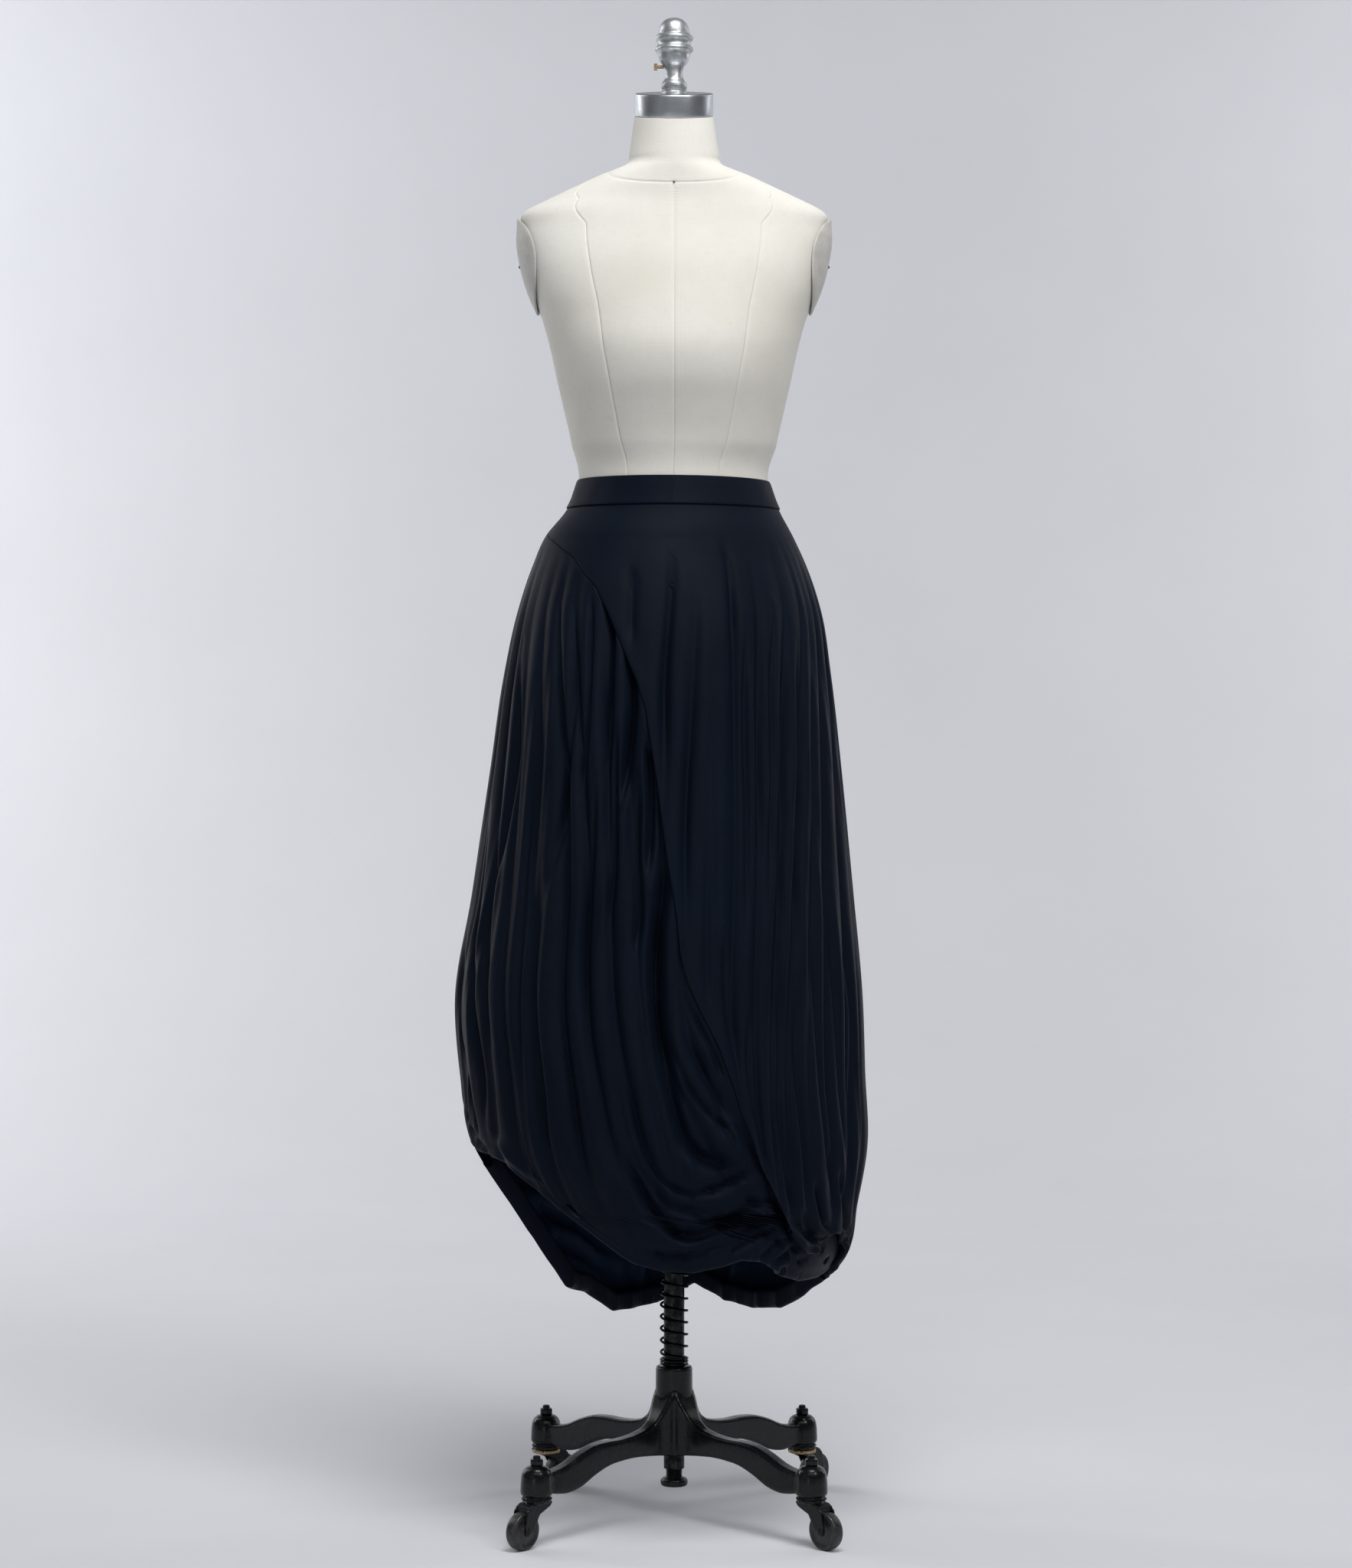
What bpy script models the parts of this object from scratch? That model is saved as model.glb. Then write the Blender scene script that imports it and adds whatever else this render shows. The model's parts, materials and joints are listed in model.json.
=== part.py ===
"""A draped jersey skirt on a limbless dress form, on a cast stand with four casters.

Metres, +Z up, and the front faces -Y. The origin is on the floor under the middle of the
whole object. Every piece is modelled about the stand's post, which the empty post_axis places.
Left and right are the viewer's, so left is -X.
"""
import math

import bmesh
import bpy
import numpy as np
from mathutils import Matrix

# Place of the post
POST_X = 0.0155
POST_Y = -0.0050

# Gap between pieces that touch
GAP = 0.0003

# Cloth
CLOTH = 0.0018
SEAM_GAP = 0.0010
BAND_RAISE = 0.0007
WAIST_TOP = 1.2540
WAIST_SEAM = 1.2200
BAND_EDGE = 0.0030

# Skirt outline, its folds' crests: height, reach to the left, right, front and back
SKIRT_SECTIONS = (
    (0.200, 0.100, 0.110, 0.140, 0.150),
    (0.270, 0.133, 0.166, 0.167, 0.186),
    (0.320, 0.163, 0.209, 0.188, 0.208),
    (0.380, 0.199, 0.222, 0.206, 0.224),
    (0.450, 0.243, 0.234, 0.218, 0.230),
    (0.540, 0.259, 0.231, 0.221, 0.231),
    (0.624, 0.265, 0.228, 0.214, 0.226),
    (0.762, 0.243, 0.2155, 0.200, 0.212),
    (0.910, 0.221, 0.2015, 0.183, 0.190),
    (1.021, 0.205, 0.1895, 0.168, 0.170),
    (1.096, 0.189, 0.178, 0.152, 0.152),
    (1.151, 0.171, 0.160, 0.133, 0.132),
    (1.188, 0.1545, 0.143, 0.117, 0.117),
    (1.220, 0.129, 0.126, 0.103, 0.102),
    (1.254, 0.1165, 0.1145, 0.094, 0.093),
)

# Fold troughs that run down the skirt: angle in degrees at the four heights below, then depth
# The angle is 0 at the front, 90 at the right side, 180 at the back and 270 at the left side.
TROUGH_HEIGHTS = (0.40, 0.60, 0.85, 1.10)
WRAP_TROUGHS = (
    (-90.0, -90.0, -90.0, -90.0, 0.0),
    (-67.0, -67.0, -67.0, -67.0, 0.0),
    (-42.0, -42.0, -42.0, -42.0, 0.0),
    (-14.0, -14.0, -13.5, -14.0, 0.0050),
    (-1.0, -1.0, -1.2, -0.4, 0.0065),
    (9.0, 8.0, 6.2, 9.9, 0.0080),
    (18.0, 14.0, 13.0, 15.5, 0.0028),
    (24.5, 21.2, 22.6, 23.6, 0.0105),
    (28.0, 27.8, 31.0, 34.4, 0.0110),
    (32.0, 33.0, 40.6, 47.8, 0.0105),
    (37.0, 38.5, 47.6, 58.5, 0.0085),
    (45.0, 46.5, 54.0, 64.0, 0.0055),
    (57.0, 55.2, 60.5, 71.0, 0.0105),
    (65.0, 68.0, 74.0, 80.0, 0.0090),
    (78.0, 80.0, 84.0, 87.0, 0.0060),
    (95.0, 95.0, 95.0, 95.0, 0.0),
)
DRAPE_TROUGHS = (
    (-97.0, -97.0, -97.0, -97.0, 0.0),
    (-80.0, -80.0, -80.0, -82.0, 0.0060),
    (-58.0, -56.0, -67.0, -72.0, 0.0085),
    (-47.0, -48.0, -54.0, -62.0, 0.0090),
    (-36.0, -37.5, -43.5, -53.0, 0.0075),
    (-25.0, -26.4, -32.0, -46.0, 0.0095),
    (-13.0, -18.6, -25.4, -38.0, 0.0100),
    (-4.0, -10.6, -18.2, -24.0, 0.0110),
    (2.0, -3.4, -11.0, -16.0, 0.0080),
    (20.0, 0.6, -1.4, -9.0, 0.0120),
    (34.0, 9.0, 6.0, -2.0, 0.0060),
    (60.0, 18.0, 14.0, 4.0, 0.0),
)
FOLD_START = 1.205
FOLD_GROWTH = 0.27
FOLD_SHARPNESS = 2.2
FADE_LOW = (0.36, 0.14)

# Back folds, on the side that the front hides
BACK_TROUGHS = 12
BACK_DEPTH = 0.0115
BACK_FADE = 0.12
BACK_HEM_FOLDS = 0.55

# Edge of the wrap panel over the draped panel: height and angle
WRAP_EDGE = (
    (0.354, 39.0), (0.377, 34.8), (0.416, 29.6), (0.452, 25.6), (0.484, 23.8), (0.520, 21.3),
    (0.555, 18.9), (0.589, 16.2), (0.626, 12.0), (0.663, 8.0), (0.697, 5.8), (0.739, 4.4),
    (0.830, 0.0), (0.898, -2.7), (0.979, -7.0), (1.011, -10.2), (1.064, -18.2), (1.092, -23.0),
    (1.121, -29.3), (1.160, -45.0), (1.178, -62.0), (1.190, -82.0), (1.200, -89.3), (1.221, -89.3),
)
WRAP_LIP = 0.0022
LIP_WIDTH = 7.0
EDGE_FOLDS = 0.32
EDGE_FOLDS_WIDTH = 9.0
TUCK = 4.5
TUCK_INSET = 0.0066
TUCK_START = (1.19, 0.05)
TUCK_WIDTH = 7.0
TUCK_FOLDS = 0.35
UNDER_WRAP = 1.9 * CLOTH
DRAPE_TOP = 1.186

# The yoke is smooth above the first height and folds freely a little below it
YOKE = (1.10, 0.06)

# The wrap panel's folds puff out above its hem: height of the puff, how far out, and where it ends
PUFF_HEIGHT = 0.11
PUFF = 0.0030
PUFF_FOLDS = 0.2
PUFF_END = (84.0, 12.0)

# Lowest edges: angle and height
WRAP_HEM = (
    (24.0, 0.420), (30.0, 0.400), (35.0, 0.372), (40.0, 0.354), (48.0, 0.350), (57.0, 0.364),
    (64.0, 0.384), (69.0, 0.360), (75.0, 0.322), (82.0, 0.300), (90.0, 0.288),
)
DRAPE_HEM = (
    (-90.0, 0.452), (-61.0, 0.446), (-53.0, 0.436), (-44.0, 0.405), (-37.5, 0.382), (-31.8, 0.362),
    (-25.7, 0.344), (-20.6, 0.333), (-10.8, 0.325), (0.0, 0.324), (11.0, 0.331), (18.0, 0.338),
    (26.0, 0.334), (36.0, 0.314), (51.0, 0.302), (67.0, 0.300), (84.0, 0.306),
)
BACK_HEM = (
    (90.0, 0.288), (100.0, 0.262), (113.0, 0.243), (136.0, 0.235), (156.0, 0.240), (169.0, 0.251),
    (176.0, 0.258), (186.0, 0.245), (196.0, 0.236), (212.0, 0.232), (226.0, 0.232), (235.0, 0.246),
    (243.0, 0.260), (252.0, 0.266), (260.0, 0.273), (264.0, 0.300), (267.0, 0.350), (270.0, 0.424),
)
# Right end of the draped panel, drawn under the wrap panel: height and angle
DRAPE_END = (
    (0.300, 83.0), (0.360, 81.0), (0.378, 68.0), (0.392, 46.0), (0.410, 36.5), (0.440, 31.0),
)
POUCH_INSET = 0.0110
POUCH_FOLDS = 0.5
POUCH_TOP = (0.445, 0.040)
POUCH_START = (20.0, 8.0)
HEM_ROLL = 0.0070
HEM_RETURN = 0.016

# Shares of the way from a panel's top to its hem where its rows lie, and from one trough to the next
WRAP_ROWS = (0.0, 0.012, 0.03, 0.05, 0.08, 0.13, 0.20, 0.30, 0.40, 0.50, 0.60, 0.70, 0.80, 0.88, 0.94, 1.0)
DRAPE_ROWS = (0.0, 0.02, 0.045, 0.08, 0.13, 0.20, 0.30, 0.42, 0.54, 0.65, 0.74, 0.82, 0.89, 0.95, 1.0)
BACK_ROWS = (0.0, 0.04, 0.09, 0.17, 0.28, 0.42, 0.57, 0.72, 0.87, 1.0)
FLUTE_SHARES = (0.0, 0.3, 0.7)

# Cowl folds across the bottom of the draped panel: points of angle and height, depth, half width
COWLS = (
    (((-1.0, 0.700), (0.0, 0.590), (2.6, 0.532), (6.0, 0.478), (12.0, 0.456), (20.0, 0.455)), 0.013, 0.013),
    (((-12.0, 0.620), (-11.0, 0.520), (-8.0, 0.450), (-2.0, 0.405), (6.0, 0.396)), 0.008, 0.012),
    (((-14.0, 0.480), (-11.4, 0.440), (-8.4, 0.400), (-3.0, 0.372), (6.0, 0.370), (18.0, 0.391),
      (28.0, 0.418)), 0.012, 0.013),
    (((8.5, 0.422), (15.0, 0.428), (24.0, 0.446)), 0.008, 0.008),
    (((-9.0, 0.348), (0.0, 0.347), (12.0, 0.362), (26.0, 0.385), (34.0, 0.388)), 0.007, 0.009),
    (((14.0, 0.347), (24.0, 0.362), (36.0, 0.372), (50.0, 0.368)), 0.006, 0.008),
    (((30.0, 0.335), (42.0, 0.345), (56.0, 0.352), (70.0, 0.350)), 0.005, 0.008),
)

# Dress form: height, half width, reach to the front and back, forward tilt in degrees
FORM_SECTIONS = (
    (0.920, 0.140, 0.098, 0.104, 0.0),
    (0.955, 0.152, 0.108, 0.116, 0.0),
    (1.050, 0.160, 0.116, 0.124, 0.0),
    (1.120, 0.152, 0.114, 0.112, 0.0),
    (1.180, 0.1320, 0.1020, 0.0980, 0.0),
    (1.235, 0.1190, 0.0950, 0.0940, 0.0),
    (1.300, 0.1240, 0.1000, 0.0910, 0.0),
    (1.336, 0.1320, 0.1110, 0.0930, 0.0),
    (1.373, 0.1405, 0.1240, 0.0980, 0.0),
    (1.410, 0.1485, 0.1280, 0.1040, 0.0),
    (1.451, 0.1600, 0.1180, 0.1080, 0.0),
    (1.480, 0.1712, 0.1080, 0.1090, 0.0),
    (1.513, 0.1800, 0.0960, 0.1060, 0.0),
    (1.556, 0.1843, 0.0760, 0.0930, 0.0),
    (1.578, 0.1790, 0.0670, 0.0800, 0.0),
    (1.592, 0.1520, 0.0620, 0.0720, 0.0),
    (1.608, 0.1180, 0.0590, 0.0650, 0.0),
    (1.622, 0.0860, 0.0575, 0.0600, 0.0),
    (1.634, 0.0590, 0.0555, 0.0565, 1.0),
    (1.660, 0.0527, 0.0515, 0.0525, 6.0),
    (1.6925, 0.0473, 0.0473, 0.0473, 12.0),
)
FORM_SQUARENESS = 2.15
BUST_LOW = 1.28
WAIST_CLEAR = 0.012
NECK_SEAM = 1.63
FORM_SIDES = 28
ARM_PLATE_HEIGHT = 1.512
ARM_PLATE_DEPTH = 0.004
ARM_PLATE_HALF = (0.050, 0.058)
ARM_PLATE_WALL = 0.0025
ARM_PLATE_LIFT = 0.0022
ARM_PLATE_RINGS = (0.0001, 0.35, 0.7, 1.0)
ARM_PLATE_SIDES = 20

# Neck cap and finial
CAP_RADIUS = 0.0473
CAP_THICK = 0.0275
CAP_TILT = 12.0
CAP_LIFT = 0.0002
CAP_BEVEL = 0.0008
FERRULE_SUNK = 0.004
FINIAL_FOOT_Z = 1.7255
FERRULE_RADIUS = 0.0148
FINIAL_PROFILE = (
    (0.0, 1.8110), (0.0110, 1.8080), (0.0170, 1.8000), (0.0190, 1.7910), (0.0229, 1.7878),
    (0.0229, 1.7848), (0.0200, 1.7810), (0.0200, 1.7770), (0.0229, 1.7742), (0.0229, 1.7715),
    (0.0190, 1.7670), (0.0174, 1.7600), (0.0120, 1.7540), (0.0108, 1.7405), (0.0152, 1.7325),
    (0.0155, 1.7280), (0.0140, FINIAL_FOOT_Z), (0.0, FINIAL_FOOT_Z),
)
SCREW_Z = 1.7520
SCREW_SEAT = 0.0119
SCREW_SHANK = (0.0020, 0.0100)
SCREW_HEAD = 0.0070

# Post, spring and hub
POST_RADIUS = 0.0125
HUB_TOP = 0.1850
HUB_BOTTOM = 0.0780
HUB_SIDES = 24
COLLAR_Z = (0.3450, 0.3630)
COLLAR_RADIUS = 0.0210
COIL_RADIUS = 0.01595
COIL_WIRE = 0.00155
COIL_PITCH = 0.0144
COIL_CLOSED = 0.0034
COIL_STEPS = 7
HUB_PROFILE = (
    (0.0205, HUB_TOP), (0.0223, 0.1832), (0.0223, 0.1560), (0.0232, 0.1470), (0.0240, 0.1300),
    (0.0240, 0.0850), (0.0215, HUB_BOTTOM),
)
TAIL_PROFILE = (
    (0.0100, 0.0600), (0.0100, 0.0575), (0.0090, 0.0560), (0.0090, 0.0545), (0.0100, 0.0530),
    (0.0090, 0.0515), (0.0100, 0.0500), (0.0110, 0.0490), (0.0158, 0.0470), (0.0165, 0.0440),
    (0.0165, 0.0410), (0.0150, 0.0390),
)
TAIL_TOP = 0.0600

# Legs and casters
BOSS_OFFSET = 0.1605
LEG_WIDTH = 0.018
LEG_ROUND = 0.0035
LEG_ROOT = 0.0246
LEG_TOP = (
    (LEG_ROOT, 0.1440), (0.0275, 0.1320), (0.0350, 0.1200), (0.0550, 0.1118), (0.0900, 0.1080),
    (0.1380, 0.1074), (0.1590, 0.1010), (0.1820, 0.0905), (0.2200, 0.0830),
)
LEG_BOTTOM = (
    (0.2200, 0.0620), (0.1770, 0.0565), (0.1610, 0.0600), (0.1400, 0.0692), (0.1150, 0.0785),
    (0.0885, 0.0820), (LEG_ROOT, 0.0790),
)
BOSS_PROFILE = (
    (0.0, 0.0955), (0.0100, 0.0950), (0.0160, 0.0905), (0.0190, 0.0800), (0.0190, 0.0603), (0.0, 0.0603),
)
NUT_PROFILE = (
    (0.0, 0.1076), (0.0060, 0.1066), (0.0080, 0.1035), (0.0080, 0.0958), (0.0, 0.0958),
)
COLLAR_TEETH = 10
SERRATED_TOP = 0.0600
SERRATED_BOTTOM = 0.0524
SERRATED_RADII = (0.0169, 0.0157)
WHEEL_RADIUS = 0.02225
WHEEL_WIDTH = 0.0165
WHEEL_SIDES = 20
AXLE_RADIUS = 0.0032
WHEEL_HUB = (0.0070, 0.0085, 0.0180)
WHEEL_DISH = (0.0022, 0.0012, 0.0028)
TRAIL = 0.0240
CHEEK = 0.0024
CHEEK_GAP = 0.0008
AXLE_PROUD = 0.0012
CHEEK_OUTLINE = (
    (-0.0150, 0.0530), (0.0170, 0.0530), (0.0265, 0.0460), (0.0305, 0.0300), (0.0290, 0.0175),
    (0.0195, 0.0175), (0.0060, 0.0400), (-0.0120, 0.0475),
)
HOOD_OUTLINE = (
    (-0.0152, 0.0532), (0.0168, 0.0532), (0.0240, 0.0492), (0.0225, 0.0478), (0.0160, 0.0500),
    (-0.0145, 0.0500),
)
HOOD_INSET = 0.0002
# Caster name, side of the hub as X and Y signs, trail direction at rest
CASTERS = (
    ("front_left", -1, -1, (-0.656, -0.755)),
    ("front_right", 1, -1, (0.680, -0.730)),
    ("back_right", 1, 1, (0.660, 0.750)),
    ("back_left", -1, 1, (0.750, 0.660)),
)

MATERIALS = {
    "jersey": ((0.012, 0.014, 0.022), 0.62, 0.0),
    "canvas": ((0.78, 0.74, 0.64), 0.75, 0.0),
    "plate": ((0.62, 0.61, 0.57), 0.50, 0.0),
    "aluminium": ((0.58, 0.59, 0.61), 0.32, 1.0),
    "zinc": ((0.55, 0.57, 0.58), 0.40, 1.0),
    "brass": ((0.55, 0.42, 0.25), 0.45, 1.0),
    "enamel": ((0.012, 0.012, 0.013), 0.28, 0.0),
    "steel": ((0.30, 0.31, 0.33), 0.30, 1.0),
    "wheel": ((0.018, 0.018, 0.019), 0.45, 0.0),
}


def remove_all_objects():
    for old in list(bpy.data.objects):
        bpy.data.objects.remove(old, do_unlink=True)


def make_material(name):
    colour, roughness, metallic = MATERIALS[name]
    material = bpy.data.materials.get(name)
    if material is None:
        material = bpy.data.materials.new(name)
        material.use_nodes = True
        shader = material.node_tree.nodes["Principled BSDF"]
        shader.inputs["Base Color"].default_value = (*colour, 1.0)
        shader.inputs["Roughness"].default_value = roughness
        shader.inputs["Metallic"].default_value = metallic
        material.diffuse_color = (*colour, 1.0)
    return material


def make_collection(name):
    collection = bpy.data.collections.new(name)
    bpy.context.scene.collection.children.link(collection)
    return collection


def make_empty(name, parent, location=(0.0, 0.0, 0.0), turn=0.0):
    empty = bpy.data.objects.new(name, None)
    empty.empty_display_size = 0.05
    empty.location = location
    empty.rotation_euler = (0.0, 0.0, turn)
    empty.parent = parent
    PARTS.objects.link(empty)
    return empty


def make_object(name, mesh, material, parent):
    piece = bpy.data.objects.new(name, mesh)
    mesh.materials.clear()
    mesh.materials.append(make_material(material))
    piece.parent = parent
    PARTS.objects.link(piece)
    return piece


def shade_round(mesh, angle=40.0):
    mesh.shade_smooth()
    mesh.set_sharp_from_angle(angle=math.radians(angle))


def add_solidify(piece, thickness):
    wall = piece.modifiers.new("wall", "SOLIDIFY")
    wall.thickness = thickness
    wall.offset = -1.0


def add_bevel(piece, width, segments=2, angle=30.0):
    edge = piece.modifiers.new("edge", "BEVEL")
    edge.width = width
    edge.segments = segments
    edge.limit_method = "ANGLE"
    edge.angle_limit = math.radians(angle)


def add_boolean(piece, other, operation):
    """Joins or cuts piece by a guide object, which stays in the guides' collection."""
    other.hide_render = True
    other.display_type = "WIRE"
    cut = piece.modifiers.new(operation.lower(), "BOOLEAN")
    cut.object = other
    cut.operation = operation
    cut.solver = "EXACT"


def move_to_guides(piece):
    PARTS.objects.unlink(piece)
    GUIDES.objects.link(piece)
    return piece


def turned(name, profile, material, parent, sides=32, closed=False, turn=0.0):
    """A turned piece: the profile is radius and height, from the top down its outer side."""
    mesh = bpy.data.meshes.new(name)
    points = [(radius, 0.0, height) for radius, height in profile]
    edges = [(i, i + 1) for i in range(len(points) - 1)]
    if closed:
        edges.append((len(points) - 1, 0))
    mesh.from_pydata(points, edges, [])
    piece = make_object(name, mesh, material, parent)
    piece.rotation_euler = (0.0, 0.0, turn)
    screw = piece.modifiers.new("turn", "SCREW")
    screw.angle = math.tau
    screw.steps = sides
    screw.render_steps = sides
    screw.use_merge_vertices = True
    screw.merge_threshold = 0.00001
    screw.use_smooth_shade = True
    return piece


def grid_object(name, points, material, parent, round_it=False):
    """An open sheet through points[row][column], rows from the top down, seen from outside."""
    rows, columns = points.shape[:2]
    wrap = columns if round_it else columns - 1
    faces = []
    for row in range(rows - 1):
        for column in range(wrap):
            after = (column + 1) % columns
            low, high = (row + 1) * columns, row * columns
            faces.append((low + column, low + after, high + after, high + column))
    mesh = bpy.data.meshes.new(name)
    mesh.from_pydata(points.reshape(-1, 3).tolist(), [], faces)
    shade_round(mesh, 60.0)
    return make_object(name, mesh, material, parent)


def flat_outline(name, points, thickness, material, parent):
    """A flat outline in X and Z, thickened evenly to both sides along Y."""
    curve = bpy.data.curves.new(name, "CURVE")
    curve.dimensions = "2D"
    curve.fill_mode = "BOTH"
    curve.extrude = thickness / 2
    spline = curve.splines.new("POLY")
    spline.points.add(len(points) - 1)
    for point, (x, z) in zip(spline.points, points):
        point.co = (x, z, 0.0, 1.0)
    spline.use_cyclic_u = True
    guide = bpy.data.objects.new(name + "_outline", curve)
    bpy.context.scene.collection.objects.link(guide)
    bpy.context.view_layer.update()
    evaluated = guide.evaluated_get(bpy.context.evaluated_depsgraph_get())
    mesh = bpy.data.meshes.new_from_object(evaluated)
    mesh.transform(Matrix.Rotation(math.pi / 2, 4, "X"))
    bpy.data.objects.remove(guide, do_unlink=True)
    shape = bmesh.new()
    shape.from_mesh(mesh)
    bmesh.ops.remove_doubles(shape, verts=shape.verts, dist=0.00001)
    bmesh.ops.recalc_face_normals(shape, faces=shape.faces)
    shape.to_mesh(mesh)
    shape.free()
    return make_object(name, mesh, material, parent)


def curve_through(places, values, at):
    """Values read between a table's rows on a smooth curve that passes through every row."""
    places = np.asarray(places, float)
    values = np.asarray(values, float)
    at = np.clip(at, places[0], places[-1])
    slopes = np.gradient(values, places)
    i = np.clip(np.searchsorted(places, at) - 1, 0, len(places) - 2)
    step = places[i + 1] - places[i]
    t = (at - places[i]) / step
    start = values[i] * (1 + 2 * t) * (1 - t) ** 2 + slopes[i] * step * t * (1 - t) ** 2
    end = values[i + 1] * t * t * (3 - 2 * t) + slopes[i + 1] * step * t * t * (t - 1)
    return start + end


def straight_between(table, at):
    places = [row[0] for row in table]
    values = [row[1] for row in table]
    return np.interp(at, places, values)


def ease(value):
    """0 below 0, 1 above 1 and a soft step between."""
    value = np.clip(value, 0.0, 1.0)
    return value * value * (3.0 - 2.0 * value)


def skirt_reach(height):
    heights = [row[0] for row in SKIRT_SECTIONS]
    return [curve_through(heights, [row[k] for row in SKIRT_SECTIONS], height) for k in range(1, 5)]


def skirt_points(angle, height, raised):
    """Points on the skirt's outline section, moved out along its normal by raised."""
    left, right, front, back = skirt_reach(height)
    turn = np.radians(angle)
    half_width, half_depth = (left + right) / 2, (front + back) / 2
    x = (right - left) / 2 + half_width * np.sin(turn)
    y = (back - front) / 2 - half_depth * np.cos(turn)
    normal_x, normal_y = np.sin(turn) / half_width, -np.cos(turn) / half_depth
    length = np.hypot(normal_x, normal_y)
    x = x + raised * normal_x / length
    y = y + raised * normal_y / length
    return np.stack([x, y, height + np.zeros_like(x)], axis=-1)


def trough_angles(troughs, height):
    """The angle of every trough at each height, as an array of troughs by points."""
    height = np.asarray(height, float)
    return np.array([curve_through(TROUGH_HEIGHTS, row[:4], height) for row in troughs])


def back_trough_table():
    """Troughs of the hidden side: uneven spacing, drift and depth from slow waves."""
    rows = []
    for i in range(-1, BACK_TROUGHS + 1):
        middle = 90.0 + (i + 0.5) * 180.0 / BACK_TROUGHS + 1.8 * math.sin(2.4 * i)
        drift = 2.6 * math.sin(1.7 * i + 0.6)
        inside = 0 <= i < BACK_TROUGHS
        depth = BACK_DEPTH * (0.8 + 0.35 * math.sin(3.1 * i + 1.0)) if inside else 0.0
        rows.append((middle - drift, middle - 0.4 * drift, middle, middle + 0.5 * drift, depth))
    return tuple(rows)


def fold_depth(troughs, angle, height):
    """How far the folds press the cloth in: round crests between narrow troughs."""
    lines = trough_angles(troughs, height)
    depth = np.zeros_like(angle + height)
    for i in range(1, len(troughs) - 1):
        before = (lines[i] - lines[i - 1]) / 2
        after = (lines[i + 1] - lines[i]) / 2
        side = angle - lines[i]
        share = np.where(side < 0, -side / before, side / after)
        depth += troughs[i][4] * np.clip(1.0 - share, 0.0, 1.0) ** FOLD_SHARPNESS
    return depth * ease((FOLD_START - height) / FOLD_GROWTH)


def cowl_depth(angle, height):
    """Depth of the cowl folds, which sweep across the bottom of the draped panel."""
    depth = np.zeros_like(angle + height)
    radius = 0.20
    for points, deep, half_width in COWLS:
        path = np.array(points, float)
        reach = np.zeros_like(depth) + 1e9
        along = np.zeros_like(depth)
        for k in range(len(path) - 1):
            (a0, h0), (a1, h1) = path[k], path[k + 1]
            run = (math.radians(a1 - a0) * radius, h1 - h0)
            here = (np.radians(angle - a0) * radius, height - h0)
            t = np.clip((here[0] * run[0] + here[1] * run[1]) / (run[0] ** 2 + run[1] ** 2), 0, 1)
            away = np.hypot(here[0] - t * run[0], here[1] - t * run[1])
            nearer = away < reach
            along = np.where(nearer, (k + t) / (len(path) - 1), along)
            reach = np.minimum(reach, away)
        fade = np.clip(np.sin(np.pi * np.clip(along, 0.04, 0.96)) * 1.6, 0.0, 1.0)
        depth += deep * fade * np.exp(-((reach / half_width) ** 2))
    return depth


def wrap_edge_angle(height):
    return straight_between(WRAP_EDGE, height)


def wrap_raise(angle, height):
    """The wrap panel: full flutes, flattening to a lifted lip at its edge and at its hem."""
    from_edge = angle - wrap_edge_angle(height)
    yoke = ease((height - YOKE[0]) / YOKE[1])
    inner = np.maximum(EDGE_FOLDS + (1.0 - EDGE_FOLDS) * ease(from_edge / EDGE_FOLDS_WIDTH), yoke)
    puff = 1.0 - ease((height - straight_between(WRAP_HEM, angle)) / PUFF_HEIGHT)
    lip = WRAP_LIP * (1.0 - ease(from_edge / LIP_WIDTH)) * (1.0 - yoke)
    folds = fold_depth(WRAP_TROUGHS, angle, height) * inner * (1.0 - (1.0 - PUFF_FOLDS) * puff)
    return lip + PUFF * puff * ease((PUFF_END[0] - angle) / PUFF_END[1]) - folds


def drape_raise(angle, height):
    """The draped panel: it sinks under the wrap panel's edge, and its folds fade there."""
    near = ease((angle - wrap_edge_angle(height) + TUCK_WIDTH) / TUCK_WIDTH)
    pouch = ease((POUCH_TOP[0] - height) / POUCH_TOP[1]) * ease((angle - POUCH_START[0]) / POUCH_START[1])
    folds = fold_depth(DRAPE_TROUGHS, angle, height) * ease((height - FADE_LOW[0]) / FADE_LOW[1])
    folds = folds + cowl_depth(angle, height) * (1.0 - (1.0 - POUCH_FOLDS) * pouch)
    inset = (TUCK_INSET * ease((TUCK_START[0] - height) / TUCK_START[1]) + UNDER_WRAP) * near
    return -folds * (1.0 - (1.0 - TUCK_FOLDS) * near) - np.maximum(inset, POUCH_INSET * pouch)


BACK_FOLDS = back_trough_table()


def back_raise(angle, height):
    share = ease((height - straight_between(BACK_HEM, angle)) / BACK_FADE)
    return -fold_depth(BACK_FOLDS, angle, height) * (BACK_HEM_FOLDS + (1.0 - BACK_HEM_FOLDS) * share)


def columns_between(troughs, height, first, last, share_list, spacing):
    """Column angles at one height: on each trough and at shares of the way to the next."""
    lines = trough_angles(troughs, height)
    angles = []
    for i in range(len(lines) - 1):
        for share in share_list:
            angles.append(lines[i] + share * (lines[i + 1] - lines[i]))
    angles.append(lines[-1])
    angles = np.array(angles)
    count = len(angles)
    steps = np.arange(count)
    angles = np.maximum(angles, first + spacing * steps)
    angles = np.minimum(angles, last - spacing * steps[::-1])
    angles[0], angles[-1] = first, last
    return angles


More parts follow.
